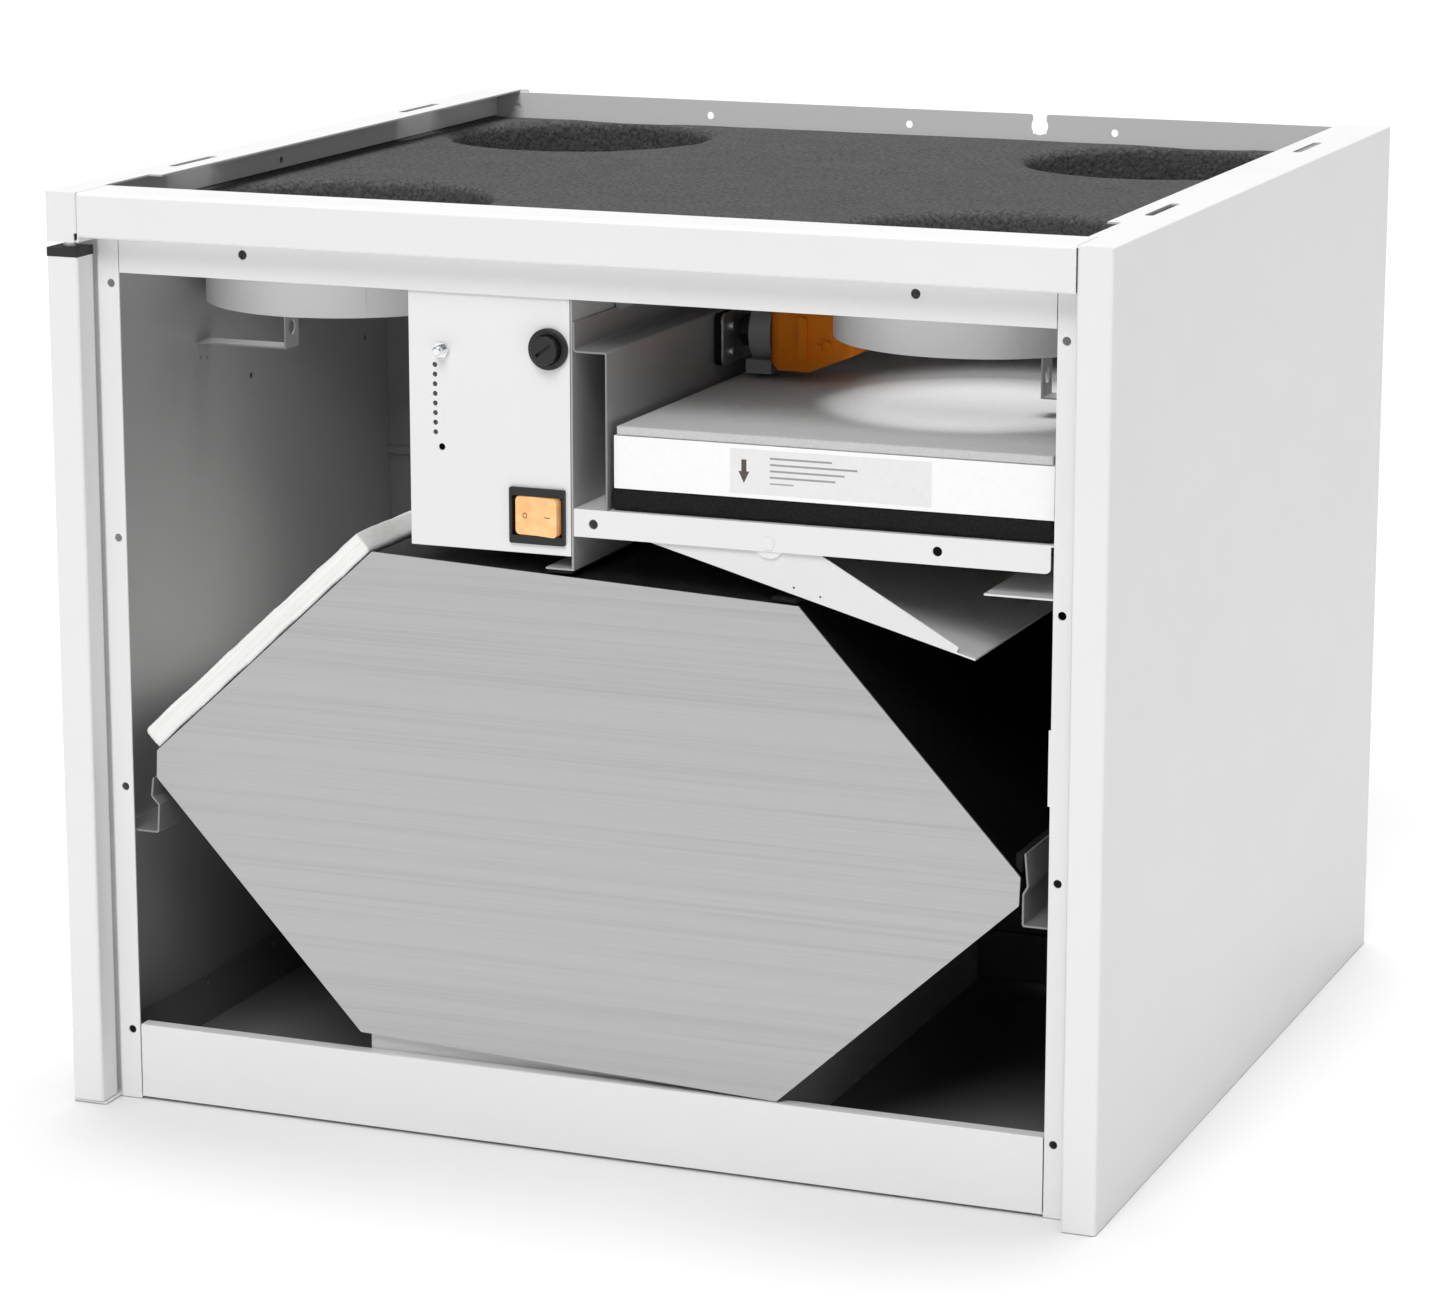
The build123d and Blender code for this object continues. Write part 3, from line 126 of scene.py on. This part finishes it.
class Shader:
    """A small builder for one node material."""

    def __init__(self, name):
        self.material = bpy.data.materials.new(name)
        self.material.use_nodes = True
        self.tree = self.material.node_tree
        self.bsdf = self.tree.nodes["Principled BSDF"]
        self.coords = self.tree.nodes.new("ShaderNodeTexCoord").outputs["Object"]

    def node(self, kind, **inputs):
        made = self.tree.nodes.new(kind)
        for key, value in inputs.items():
            self.feed(made.inputs[key.replace("_", " ")], value)
        return made

    def feed(self, socket, value):
        if isinstance(value, bpy.types.NodeSocket):
            self.tree.links.new(value, socket)
        else:
            socket.default_value = value

    def stretched(self, scale, turn=(0.0, 0.0, 0.0)):
        """Object coordinates in metres, turned and then scaled per axis."""
        turned = self.node("ShaderNodeVectorRotate", Vector=self.coords)
        turned.rotation_type = "EULER_XYZ"
        turned.inputs["Rotation"].default_value = turn
        scaled = self.node("ShaderNodeMapping", Vector=turned.outputs[0], Scale=scale)
        return scaled.outputs[0]

    def noise(self, scale, detail=3.0, roughness=0.5, vector=None):
        made = self.node(
            "ShaderNodeTexNoise",
            Vector=vector or self.coords,
            Scale=scale,
            Detail=detail,
            Roughness=roughness,
        )
        return made.outputs["Fac"]

    def cells(self, scale, vector=None):
        made = self.node("ShaderNodeTexVoronoi", Vector=vector or self.coords, Scale=scale)
        return made.outputs["Distance"]

    def ramp(self, value, stops):
        made = self.node("ShaderNodeValToRGB", Fac=value)
        ramp = made.color_ramp
        while len(ramp.elements) < len(stops):
            ramp.elements.new(0.5)
        for element, (place, colour) in zip(ramp.elements, stops):
            element.position = place
            grey = isinstance(colour, (int, float))
            element.color = (colour, colour, colour, 1.0) if grey else (*colour, 1.0)
        return made.outputs["Color"]

    def mix(self, factor, a, b, mode="MIX"):
        made = self.tree.nodes.new("ShaderNodeMix")
        made.data_type = "RGBA"
        made.blend_type = mode
        self.feed(made.inputs["Factor"], factor)
        self.feed(made.inputs["A"], a if isinstance(a, bpy.types.NodeSocket) else (*a, 1.0))
        self.feed(made.inputs["B"], b if isinstance(b, bpy.types.NodeSocket) else (*b, 1.0))
        return made.outputs["Result"]

    def add(self, a, b, share=1.0):
        made = self.node("ShaderNodeMath")
        made.operation = "MULTIPLY_ADD"
        self.feed(made.inputs[0], b)
        made.inputs[1].default_value = share
        self.feed(made.inputs[2], a)
        return made.outputs[0]

    def bump(self, height, strength, distance):
        made = self.node("ShaderNodeBump", Height=height, Strength=strength, Distance=distance)
        self.feed(self.bsdf.inputs["Normal"], made.outputs["Normal"])

    def set(self, **inputs):
        for key, value in inputs.items():
            self.feed(self.bsdf.inputs[key.replace("_", " ")], value)
        return self


def powder_coat(name, light, dark, smooth, rough):
    """White baked coating: a faint cloudiness and the fine orange peel of sprayed powder."""
    s = Shader(name)
    cloud = s.noise(9.0, 4.0, 0.6)
    s.set(Base_Color=s.ramp(cloud, [(0.3, dark), (0.7, light)]))
    s.set(Roughness=s.ramp(s.noise(35.0, 3.0), [(0.2, smooth), (0.8, rough)]))
    s.bump(s.add(s.noise(900.0, 2.0), s.noise(2600.0, 2.0), 0.35), 0.08, 0.0004)
    return s.set(Specular_IOR_Level=0.5).material


def liner_coat_with_painted_rim_light(name):
    """Satin grey coat of the inner sheets, with painted light on their top rim: the same sheet is coloured
    white from the rim height up.
    """
    s = Shader(name)
    height = s.node("ShaderNodeSeparateXYZ", Vector=s.coords).outputs["Z"]
    grey = s.ramp(s.noise(9.0, 4.0, 0.6), [(0.3, (0.385, 0.385, 0.384)), (0.7, (0.40, 0.40, 0.399))])
    # Painted light: the same sheet turns white above the rim height, standing in for the brighter light its
    # top rim catches.
    s.set(Base_Color=s.mix(s.ramp(height, [(PAINTED_LIGHT_RIM_Z - MM, 0.0), (PAINTED_LIGHT_RIM_Z, 1.0)]), grey, (0.80, 0.80, 0.798)))
    s.set(Roughness=s.ramp(s.noise(35.0, 3.0), [(0.2, 0.28), (0.8, 0.34)]))
    s.bump(s.noise(900.0, 2.0), 0.08, 0.0004)
    return s.set(Specular_IOR_Level=0.5).material


def foam(name, dark, light, cell, depth):
    """Cellular foam with a speckled cut skin."""
    s = Shader(name)
    speckle = s.noise(cell, 5.0, 0.75)
    blotch = s.noise(38.0, 3.0, 0.6)
    middle = [0.5 * (a + b) for a, b in zip(dark, light)]
    tone = s.ramp(speckle, [(0.36, dark), (0.52, middle), (0.70, light)])
    s.set(Base_Color=s.mix(s.ramp(blotch, [(0.35, 0.0), (0.7, 0.22)]), tone, dark))
    s.set(Roughness=s.ramp(speckle, [(0.3, 0.98), (0.7, 0.82)]))
    s.bump(s.add(speckle, s.cells(cell * 0.8), 0.8), 0.75, depth)
    return s.set(Specular_IOR_Level=0.25).material


def brushed(name, dark, light, stretch, turn, metal_rough, depth=0.00012):
    """Metal with a fine straight grain along one direction."""
    s = Shader(name)
    fine = s.noise(1.0, 4.0, 0.65, s.stretched(stretch, turn))
    coarse = s.noise(1.0, 3.0, 0.6, s.stretched([v * 0.22 for v in stretch], turn))
    grain = s.add(fine, coarse, 0.9)
    s.set(Base_Color=s.ramp(grain, [(0.62, dark), (1.25, light)]))
    s.set(Roughness=s.ramp(fine, [(0.25, metal_rough[0]), (0.75, metal_rough[1])]))
    s.bump(grain, 0.35, depth)
    return s.set(Metallic=0.92, Anisotropic=0.55).material


def moulded(name, colour, variation, rough, grain, depth, specular=0.5):
    """Moulded plastic with the fine erosion texture of its tool."""
    s = Shader(name)
    darker = [c * (1.0 - variation) for c in colour]
    s.set(Base_Color=s.ramp(s.noise(55.0, 4.0, 0.6), [(0.3, darker), (0.7, colour)]))
    s.set(Roughness=s.ramp(s.noise(grain * 0.4, 3.0), [(0.3, rough - 0.07), (0.7, rough + 0.07)]))
    s.bump(s.noise(grain, 3.0, 0.6), 0.35, depth)
    return s.set(Specular_IOR_Level=specular).material


def fibre(name, dark, light, stretch, turn, depth):
    """Non-woven filter fibre: matted strands that mostly run one way."""
    s = Shader(name)
    strands = s.noise(1.0, 6.0, 0.7, s.stretched(stretch, turn))
    lumps = s.noise(70.0, 4.0, 0.65)
    tone = s.ramp(strands, [(0.32, dark), (0.62, light)])
    s.set(Base_Color=s.mix(s.ramp(lumps, [(0.35, 0.0), (0.75, 0.35)]), tone, light))
    s.bump(s.add(strands, lumps, 0.5), 0.6, depth)
    return s.set(Roughness=0.95, Specular_IOR_Level=0.2, Sheen_Weight=0.15).material


def zinc(name):
    """Bright zinc-plated steel with a faint crystal pattern."""
    s = Shader(name)
    spangle = s.cells(160.0)
    s.set(Base_Color=s.ramp(spangle, [(0.1, (0.52, 0.53, 0.55)), (0.7, (0.68, 0.69, 0.70))]))
    s.set(Roughness=s.ramp(s.noise(120.0, 4.0), [(0.3, 0.28), (0.7, 0.44)]))
    s.bump(s.noise(900.0, 2.0), 0.12, 0.0002)
    return s.set(Metallic=0.95).material


def chrome(name):
    s = Shader(name)
    tint = s.noise(220.0, 3.0)
    s.set(Base_Color=s.ramp(tint, [(0.3, (0.74, 0.75, 0.77)), (0.7, (0.86, 0.87, 0.88))]))
    s.set(Roughness=s.ramp(s.noise(500.0, 4.0), [(0.3, 0.07), (0.7, 0.16)]))
    return s.set(Metallic=1.0).material


def lit_lens(name):
    """Translucent orange rocker that glows from inside, brighter in its middle."""
    s = Shader(name)
    glow = s.noise(130.0, 3.0)
    s.set(Base_Color=s.ramp(glow, [(0.3, (0.90, 0.42, 0.16)), (0.7, (0.98, 0.55, 0.25))]))
    s.set(Emission_Color=s.ramp(glow, [(0.3, (0.95, 0.42, 0.14)), (0.7, (1.0, 0.52, 0.22))]))
    s.bump(s.noise(1500.0, 2.0), 0.12, 0.0002)
    return s.set(Emission_Strength=0.22, Roughness=0.32, Subsurface_Weight=0.0, Coat_Weight=0.2).material


def small_lamp(name):
    s = Shader(name)
    tint = s.noise(900.0, 2.0)
    s.set(Base_Color=s.ramp(tint, [(0.3, (0.006, 0.02, 0.009)), (0.7, (0.012, 0.045, 0.018))]))
    return s.set(Roughness=0.18, Coat_Weight=0.5).material


def circuit(name):
    s = Shader(name)
    tracks = s.cells(260.0, s.stretched((1.0, 0.2, 1.0)))
    s.set(Base_Color=s.ramp(tracks, [(0.25, (0.01, 0.10, 0.035)), (0.6, (0.02, 0.19, 0.07))]))
    s.bump(tracks, 0.2, 0.0002)
    return s.set(Roughness=0.35).material


def ink(name, colour):
    s = Shader(name)
    s.set(Base_Color=s.ramp(s.noise(1200.0, 3.0), [(0.3, colour), (0.7, [c * 1.25 for c in colour])]))
    return s.set(Roughness=0.6).material


def card(name, dark, light):
    s = Shader(name)
    s.set(Base_Color=s.ramp(s.noise(240.0, 5.0, 0.7), [(0.3, dark), (0.7, light)]))
    s.bump(s.noise(1600.0, 4.0, 0.7), 0.2, 0.0002)
    return s.set(Roughness=0.55, Specular_IOR_Level=0.4).material


def floor_material():
    s = Shader("pale_floor")
    s.set(Base_Color=s.ramp(s.noise(6.0, 3.0), [(0.3, 0.77), (0.7, 0.79)]))
    return s.set(Roughness=0.9, Specular_IOR_Level=0.1).material


SLOPE = math.radians(42.4)
UNTURNED = (0.0, 0.0, 0.0)
MATERIALS = {
    "white_panel": powder_coat("white_powder_coat", (0.825, 0.825, 0.822), (0.81, 0.81, 0.808), 0.36, 0.42),
    "white_inner_sheet": powder_coat(
        "white_inner_coat", (0.78, 0.78, 0.778), (0.765, 0.765, 0.763), 0.30, 0.36
    ),
    "dark_foam": foam("dark_insulation_foam", (0.035, 0.035, 0.036), (0.135, 0.135, 0.136), 420.0, 0.0010),
    "black_seal": foam("black_cellular_rubber", (0.004, 0.004, 0.004), (0.018, 0.018, 0.018), 900.0, 0.0005),
    "brushed_aluminium": brushed(
        "brushed_aluminium",
        (0.43, 0.43, 0.435),
        (0.51, 0.51, 0.515),
        (4.0, 30.0, 900.0),
        UNTURNED,
        (0.36, 0.46),
    ),
    "zinc_steel": zinc("zinc_plated_steel"),
    "black_plastic": moulded("black_plastic", (0.012, 0.012, 0.013), 0.3, 0.42, 1500.0, 0.0003),
    "black_plate_stack": moulded("black_plate_stack", (0.002, 0.002, 0.0022), 0.3, 0.7, 700.0, 0.0002, 0.12),
    "orange_plastic": moulded("orange_plastic", (0.92, 0.245, 0.0015), 0.08, 0.46, 1100.0, 0.0004, 0.25),
    "grey_plastic": moulded("grey_plastic", (0.35, 0.35, 0.355), 0.15, 0.45, 1100.0, 0.0004),
    "white_card": card("white_card", (0.93, 0.93, 0.925), (0.97, 0.97, 0.965)),
    "white_fibre": fibre(
        "white_filter_fibre",
        (0.80, 0.80, 0.79),
        (0.95, 0.95, 0.94),
        (14.0, 160.0, 900.0),
        (0.0, SLOPE, 0.0),
        0.0008,
    ),
    "orange_lens": lit_lens("lit_orange_lens"),
    "green_lens": small_lamp("dark_green_lens"),
    "chrome_steel": chrome("bright_chrome"),
    "green_board": circuit("solder_mask"),
}
SLOT_OF = {part["node"]: part["material_slot"] for part in frame["record"]["subparts"]}
FIN_BLACK = moulded("black_fin_edges", (0.004, 0.004, 0.0042), 0.4, 0.6, 900.0, 0.0002, 0.12)
PAPER = fibre(
    "pleated_paper", (0.74, 0.74, 0.73), (0.86, 0.86, 0.85), (420.0, 420.0, 420.0), UNTURNED, 0.0003
)
LABEL_PAPER = card("label_paper", (0.80, 0.80, 0.795), (0.84, 0.84, 0.835))
BROWN_INK = ink("brown_ink", (0.085, 0.062, 0.052))
GREY_INK = ink("grey_ink", (0.30, 0.30, 0.30))
# Inner sheet coat with painted light: its top rim is coloured white.
LINER_WITH_PAINTED_RIM_LIGHT = liner_coat_with_painted_rim_light("satin_liner_painted_rim_light")
# Painted shade: a dark grey coat that stands in for the shade deep inside the unit, in place of the parts'
# own lighter finish.
PAINTED_SHADE_COAT = powder_coat("painted_shade_inner_coat", (0.25, 0.25, 0.249), (0.235, 0.235, 0.234), 0.20, 0.26)
FELT = fibre(
    "white_felt", (0.54, 0.54, 0.54), (0.62, 0.62, 0.62), (520.0, 520.0, 520.0), UNTURNED, 0.0003
)
# Parts coloured with the painted-shade grey coat because they sit in shade, not because they are grey.
PAINTED_SHADE_NODES = (
    "rear_partition",
    "condensate_tray",
    "filter_guide",
    "exchanger_rail_left",
    "exchanger_rail_right",
)
LINED = ("side_liners", "centre_divider", "rear_divider", "sensor_brackets")


def finish_of(node):
    if node in LINED:
        return LINER_WITH_PAINTED_RIM_LIGHT
    if node in PAINTED_SHADE_NODES:
        return PAINTED_SHADE_COAT
    return FELT if node == "prefilter_mat" else MATERIALS[SLOT_OF[node]]


def paint_cad_nodes():
    for name, node in NODES.items():
        node.data.materials.clear()
        node.data.materials.append(finish_of(name))


# ---------------------------------------------------------------- pieces built around the frame

def body_of_node(node):
    return NODES[node]["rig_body"]


def piece(name, mesh, material, body, smooth=False):
    """One finished Blender piece that rides on a body of the frame."""
    obj = bpy.data.objects.new(name, mesh)
    SCENE.collection.objects.link(obj)
    mesh.materials.clear()
    mesh.materials.append(material)
    for polygon in mesh.polygons:
        polygon.use_smooth = smooth
    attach(obj, body)
    return obj


def mesh_from(name, points, faces):
    mesh = bpy.data.meshes.new(name)
    mesh.from_pydata([tuple(p) for p in points], [], faces)
    mesh.validate()
    mesh.update()
    return mesh


def soft_copy(node, voxel, lump, pitch):
    """Foam or fibre piece in a CAD solid's place: rounded edges and a slightly uneven surface."""
    source = NODES[node].data.copy()
    helper = bpy.data.objects.new(node + "_helper", source)
    SCENE.collection.objects.link(helper)
    weld = helper.modifiers.new("weld", "WELD")
    weld.merge_threshold = 0.02 * MM
    remesh = helper.modifiers.new("remesh", "REMESH")
    remesh.mode = "VOXEL"
    remesh.voxel_size = voxel
    smooth = helper.modifiers.new("smooth", "SMOOTH")
    smooth.factor = 0.5
    smooth.iterations = 2
    graph = bpy.context.evaluated_depsgraph_get()
    mesh = bpy.data.meshes.new_from_object(helper.evaluated_get(graph))
    bpy.data.objects.remove(helper)
    normals = [vertex.normal.copy() for vertex in mesh.vertices]
    for vertex, normal in zip(mesh.vertices, normals):
        vertex.co += normal * lump * (noise.noise(vertex.co / pitch) - 1.0)
    obj = piece(node + "_soft", mesh, finish_of(node), body_of_node(node), True)
    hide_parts(node)
    return obj


# node, voxel, lump and lump pitch in mm, and how full the piece is
SOFT_NODES = (
    ("roof_insulation", 4.0, 0.25, 22.0, 1.0),
    ("side_insulation", 7.0, 0.10, 30.0, 1.0),
    ("filter_gasket", 2.0, 0.15, 14.0, 0.9),
    ("divider_seal", 0.9, 0.05, 9.0, 0.9),
    ("actuator_gasket", 0.9, 0.08, 9.0, 0.9),
    ("exchanger_seals", 1.0, 0.06, 9.0, 0.9),
    ("extract_filter", 2.4, 0.35, 11.0, 0.7),
    ("prefilter_mat", 1.6, 0.10, 13.0, 0.7),
)


def soft_pieces():
    for node, voxel, lump, pitch, fill in SOFT_NODES:
        soft_copy(node, voxel * MM, lump * MM, pitch * MM)


def boxes(name, corners):
    """Mesh of closed six-sided bars, each given by its eight corners."""
    points, faces = [], []
    quads = ((0, 3, 2, 1), (4, 5, 6, 7), (0, 1, 5, 4), (1, 2, 6, 5), (2, 3, 7, 6), (3, 0, 4, 7))
    for bar in corners:
        start = len(points)
        points += bar
        faces += [tuple(start + i for i in quad) for quad in quads]
    return mesh_from(name, points, faces)


def bar_corners(centre, half_a, half_b, half_c):
    """Corners of one bar around its centre, from three half edges at right angles."""
    ring = ((-1, -1), (1, -1), (1, 1), (-1, 1))
    return [centre + half_a * a + half_b * b + half_c * c for c in (-1, 1) for a, b in ring]


FIN_PITCH = 2.5 * MM
FIN_THICK = 0.9 * MM
FIN_RISE = 1.2 * MM
FIN_GAP = 0.6 * MM


def recessed_faces():
    """Slope, width and normal of the four sunk faces of the exchanger core."""
    core = NODES["exchanger_core"].data
    groups = {}
    for polygon in core.polygons:
        normal = polygon.normal
        if abs(normal.y) < 0.01 and abs(normal.x) > 0.5 and abs(normal.z) > 0.5:
            groups.setdefault((normal.x > 0, normal.z > 0), []).append(polygon)
    for group in groups.values():
        normal = group[0].normal.copy()
        depths = [normal.dot(polygon.center) for polygon in group]
        sunk = [p for p, depth in zip(group, depths) if depth < min(depths) + 0.5 * MM]
        corners = [core.vertices[i].co for polygon in sunk for i in polygon.vertices]
        yield corners, normal, min(depths)


def exchanger_fins():
    """Edges of the stacked plates, which show as fine ribs along each slanted face."""
    bars = []
    depth = Vector((0.0, 1.0, 0.0))
    for corners, normal, offset in recessed_faces():
        slope = normal.cross(depth)
        along = [slope.dot(c) for c in corners]
        across = [c.y for c in corners]
        half_run = 0.5 * (max(along) - min(along)) - FIN_GAP
        middle = slope * 0.5 * (max(along) + min(along)) + normal * (offset + 0.5 * FIN_RISE - 0.1 * MM)
        count = int((max(across) - min(across) - 2 * FIN_GAP) / FIN_PITCH)
        first = 0.5 * (max(across) + min(across) - (count - 1) * FIN_PITCH)
        for i in range(count):
            centre = middle + depth * (first + i * FIN_PITCH)
            halves = (slope * half_run, depth * 0.5 * FIN_THICK, normal * 0.5 * FIN_RISE)
            bars.append(bar_corners(centre, *halves))
    mesh = boxes("exchanger_fins", bars)
    piece("exchanger_fins", mesh, FIN_BLACK, body_of_node("exchanger_core"))


PLEATS = 24
FOLD_STEPS = 12
PLEAT_ROWS = 10


def filter_pleats():
    """Pleated media of the supply filter: one folded sheet of glass-fibre paper."""
    node = "supply_filter_media"
    low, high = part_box(node)
    middle_z, rise = 0.5 * (low.z + high.z), 0.5 * (high.z - low.z) - 0.6 * MM
    columns = 2 * PLEATS * FOLD_STEPS
    points, cut = [], 0.0
    for i in range(columns + 1):
        phase = math.pi * i / FOLD_STEPS
        x = low.x + (high.x - low.x) * i / columns
        z = middle_z - rise * math.asin(0.985 * math.cos(phase)) / math.asin(0.985)
        if points:
            cut += math.hypot(x - points[-1][0], z - points[-1][2])
        for j in range(PLEAT_ROWS + 1):
            y = low.y + (high.y - low.y) * j / PLEAT_ROWS
            points.append((x, y, z))
    faces = []
    for i in range(columns):
        for j in range(PLEAT_ROWS):
            a = i * (PLEAT_ROWS + 1) + j
            faces.append((a, a + PLEAT_ROWS + 1, a + PLEAT_ROWS + 2, a + 1))
    mesh = mesh_from("filter_pleats", points, faces)
    obj = piece("filter_pleats", mesh, PAPER, body_of_node(node), True)
    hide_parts(node)


LABEL_SHARE = (0.27, 0.728)
LABEL_EDGE = 2.2 * MM
LABEL_THICK = 0.12 * MM
INK_THICK = 0.05 * MM
ARROW_X = 7.8 * MM
TEXT_X = 22.2 * MM
TEXT_LENGTHS = (34.0, 48.0, 41.0, 36.0, 13.0)
TEXT_HALF_HEIGHTS = (0.5, 0.5, 0.5, 0.5, 0.35)
TEXT_PITCH = 3.3 * MM
TEXT_DROP = 4.2 * MM
ARROW_REACH, ARROW_SHAFT, ARROW_HEAD = 6.2 * MM, 1.4 * MM, 3.0 * MM


def flat_outline(name, outline, y, thick):
    """Closed plate of even thickness whose front follows an outline in X and Z."""
    count = len(outline)
    points = [(x, y - thick, z) for x, z in outline] + [(x, y, z) for x, z in outline]
    faces = [tuple(range(count)), tuple(range(2 * count - 1, count - 1, -1))]
    faces += [(i, i + count, (i + 1) % count + count, (i + 1) % count) for i in range(count)]
    return mesh_from(name, points, faces)


def rectangle(x, z, width, height):
    return [(x, z), (x + width, z), (x + width, z + height), (x, z + height)]


def cassette_label():
    """Paper label of the filter cassette: a flow arrow and plain grey lines, with no lettering."""
    low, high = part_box("supply_filter_frame")
    body = body_of_node("supply_filter_frame")
    left = low.x + LABEL_SHARE[0] * (high.x - low.x)
    right = low.x + LABEL_SHARE[1] * (high.x - low.x)
    bottom, top = low.z + LABEL_EDGE, high.z - LABEL_EDGE
    paper = flat_outline("label", rectangle(left, bottom, right - left, top - bottom), low.y, LABEL_THICK)
    piece("cassette_label", paper, LABEL_PAPER, body)
    face = low.y - LABEL_THICK
    x, z = left + ARROW_X, 0.5 * (bottom + top)
    arrow = [
        (x - ARROW_SHAFT, z + ARROW_REACH),
        (x - ARROW_SHAFT, z),
        (x - ARROW_HEAD, z),
        (x, z - ARROW_REACH),
        (x + ARROW_HEAD, z),
        (x + ARROW_SHAFT, z),
        (x + ARROW_SHAFT, z + ARROW_REACH),
    ]
    piece("label_arrow", flat_outline("arrow", arrow, face, INK_THICK), BROWN_INK, body)
    bars = []
    half_ink = 0.5 * INK_THICK
    for row, (length, height) in enumerate(zip(TEXT_LENGTHS, TEXT_HALF_HEIGHTS)):
        half_length = 0.5 * length * MM
        line_z = top - TEXT_DROP - row * TEXT_PITCH
        centre = Vector((left + TEXT_X + half_length, face - half_ink, line_z))
        halves = (Vector((half_length, 0, 0)), Vector((0, half_ink, 0)), Vector((0, 0, height * MM)))
        bars.append(bar_corners(centre, *halves))
    piece("label_lines", boxes("label_lines", bars), GREY_INK, body)


def surface_point(node, origin, towards):
    """Point and normal where a straight line first meets a CAD node at rest."""
    hit, place, normal, _ = NODES[node].ray_cast(Vector(origin), Vector(towards))
    if not hit:
        raise ValueError(f"nothing of {node} lies in the way")
    return place, normal


MARK_RISE = 0.05 * MM
MARK_SHARES = (("off_mark", 0.22), ("on_mark", 0.76))
DASH_HALF_LENGTH, DASH_HALF_HEIGHT = 1.9 * MM, 0.25 * MM
RING_WIDTH, RING_HEIGHT = 1.35 * MM, 1.6 * MM
RING_INNER = 0.68
RING_STEPS = 28
PROBE = 0.05


def rocker_marks():
    """Printed ring and dash on the two halves of the rocker."""
    low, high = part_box("rocker_switch")
    z = 0.5 * (low.z + high.z)
    body = body_of_node("rocker_switch")
    front = Vector((0.0, 1.0, 0.0))
    for name, share in MARK_SHARES:
        x = low.x + share * (high.x - low.x)
        place, normal = surface_point("rocker_switch", (x, low.y - PROBE, z), front)
        side = Vector((0.0, 0.0, 1.0)).cross(normal).normalized()
        upward = normal.cross(side)
        centre = place + normal * 0.5 * MARK_RISE
        if name == "on_mark":
            halves = (side * DASH_HALF_LENGTH, upward * DASH_HALF_HEIGHT, normal * MARK_RISE)
            mesh = boxes(name, [bar_corners(centre, *halves)])
        else:
            mesh = ring_mesh(name, centre, side, upward, normal)
        piece(name, mesh, BROWN_INK, body)


def ring_mesh(name, centre, side, upward, normal):
    """Flat closed ring, slightly taller than wide."""
    points, faces = [], []
    for i in range(RING_STEPS):
        angle = 2 * math.pi * i / RING_STEPS
        out = side * math.cos(angle) * RING_WIDTH + upward * math.sin(angle) * RING_HEIGHT
        for share, rise in ((1.0, -1.0), (1.0, 1.0), (RING_INNER, 1.0), (RING_INNER, -1.0)):
            points.append(centre + out * share + normal * rise * MARK_RISE)
    for i in range(RING_STEPS):
        a, b = 4 * i, 4 * ((i + 1) % RING_STEPS)
        faces += [(a + k, b + k, b + (k + 1) % 4, a + (k + 1) % 4) for k in range(4)]
    return mesh_from(name, points, faces)


LAP_START = math.radians(-58.0)
LAP_SWEEP = math.radians(52.0)
LAP_STEPS = 26
LAP_THICK = 0.25 * MM
LAP_SUNK = 0.2 * MM
LAP_SHORT = 4 * MM
SKIN_Z = 5 * MM
COLLARS = ("extract_air_collar", "outdoor_air_collar", "supply_air_collar", "exhaust_air_collar")


def collar_laps():
    """Lap joint of each rolled collar: a second thin layer of sheet over part of its round."""
    for name in COLLARS:
        low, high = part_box(name)
        centre_x, centre_y = 0.5 * (low.x + high.x), 0.5 * (low.y + high.y)
        skin, _ = surface_point(name, (centre_x, low.y - PROBE, low.z + SKIN_Z), (0.0, 1.0, 0.0))
        radius = centre_y - skin.y
        points, faces = [], []
        for i in range(LAP_STEPS + 1):
            angle = LAP_START - LAP_SWEEP * i / LAP_STEPS
            for reach, z in (
                (radius - LAP_SUNK, low.z),
                (radius + LAP_THICK, low.z),
                (radius + LAP_THICK, high.z - LAP_SHORT),
                (radius - LAP_SUNK, high.z - LAP_SHORT),
            ):
                x = centre_x + reach * math.cos(angle)
                y = centre_y + reach * math.sin(angle)
                points.append((x, y, z))
        for a in range(0, 4 * LAP_STEPS, 4):
            faces += [(a + k, a + (k + 1) % 4, a + 4 + (k + 1) % 4, a + 4 + k) for k in range(4)]
        last = 4 * LAP_STEPS
        faces += [(0, 3, 2, 1), (last, last + 1, last + 2, last + 3)]
        mesh = mesh_from(name + "_lap", points, faces)
        piece(name + "_lap", mesh, finish_of(name), body_of_node(name), True)
        mesh.set_sharp_from_angle(angle=math.radians(30.0))


FLOOR_HALF = 14.0
FLOOR_GAP = 0.5 * MM


def floor():
    corners = [(x * FLOOR_HALF, y * FLOOR_HALF, 0) for x, y in ((-1, -1), (1, -1), (1, 1), (-1, 1))]
    mesh = bpy.data.meshes.new("floor")
    mesh.from_pydata(corners, [], [(0, 1, 2, 3)])
    plane = bpy.data.objects.new("floor", mesh)
    plane.location.z = cad_low.z - FLOOR_GAP
    mesh.materials.append(floor_material())
    SCENE.collection.objects.link(plane)


camera()
lights()
floor()
paint_cad_nodes()
soft_pieces()
exchanger_fins()
filter_pleats()
cassette_label()
rocker_marks()
collar_laps()
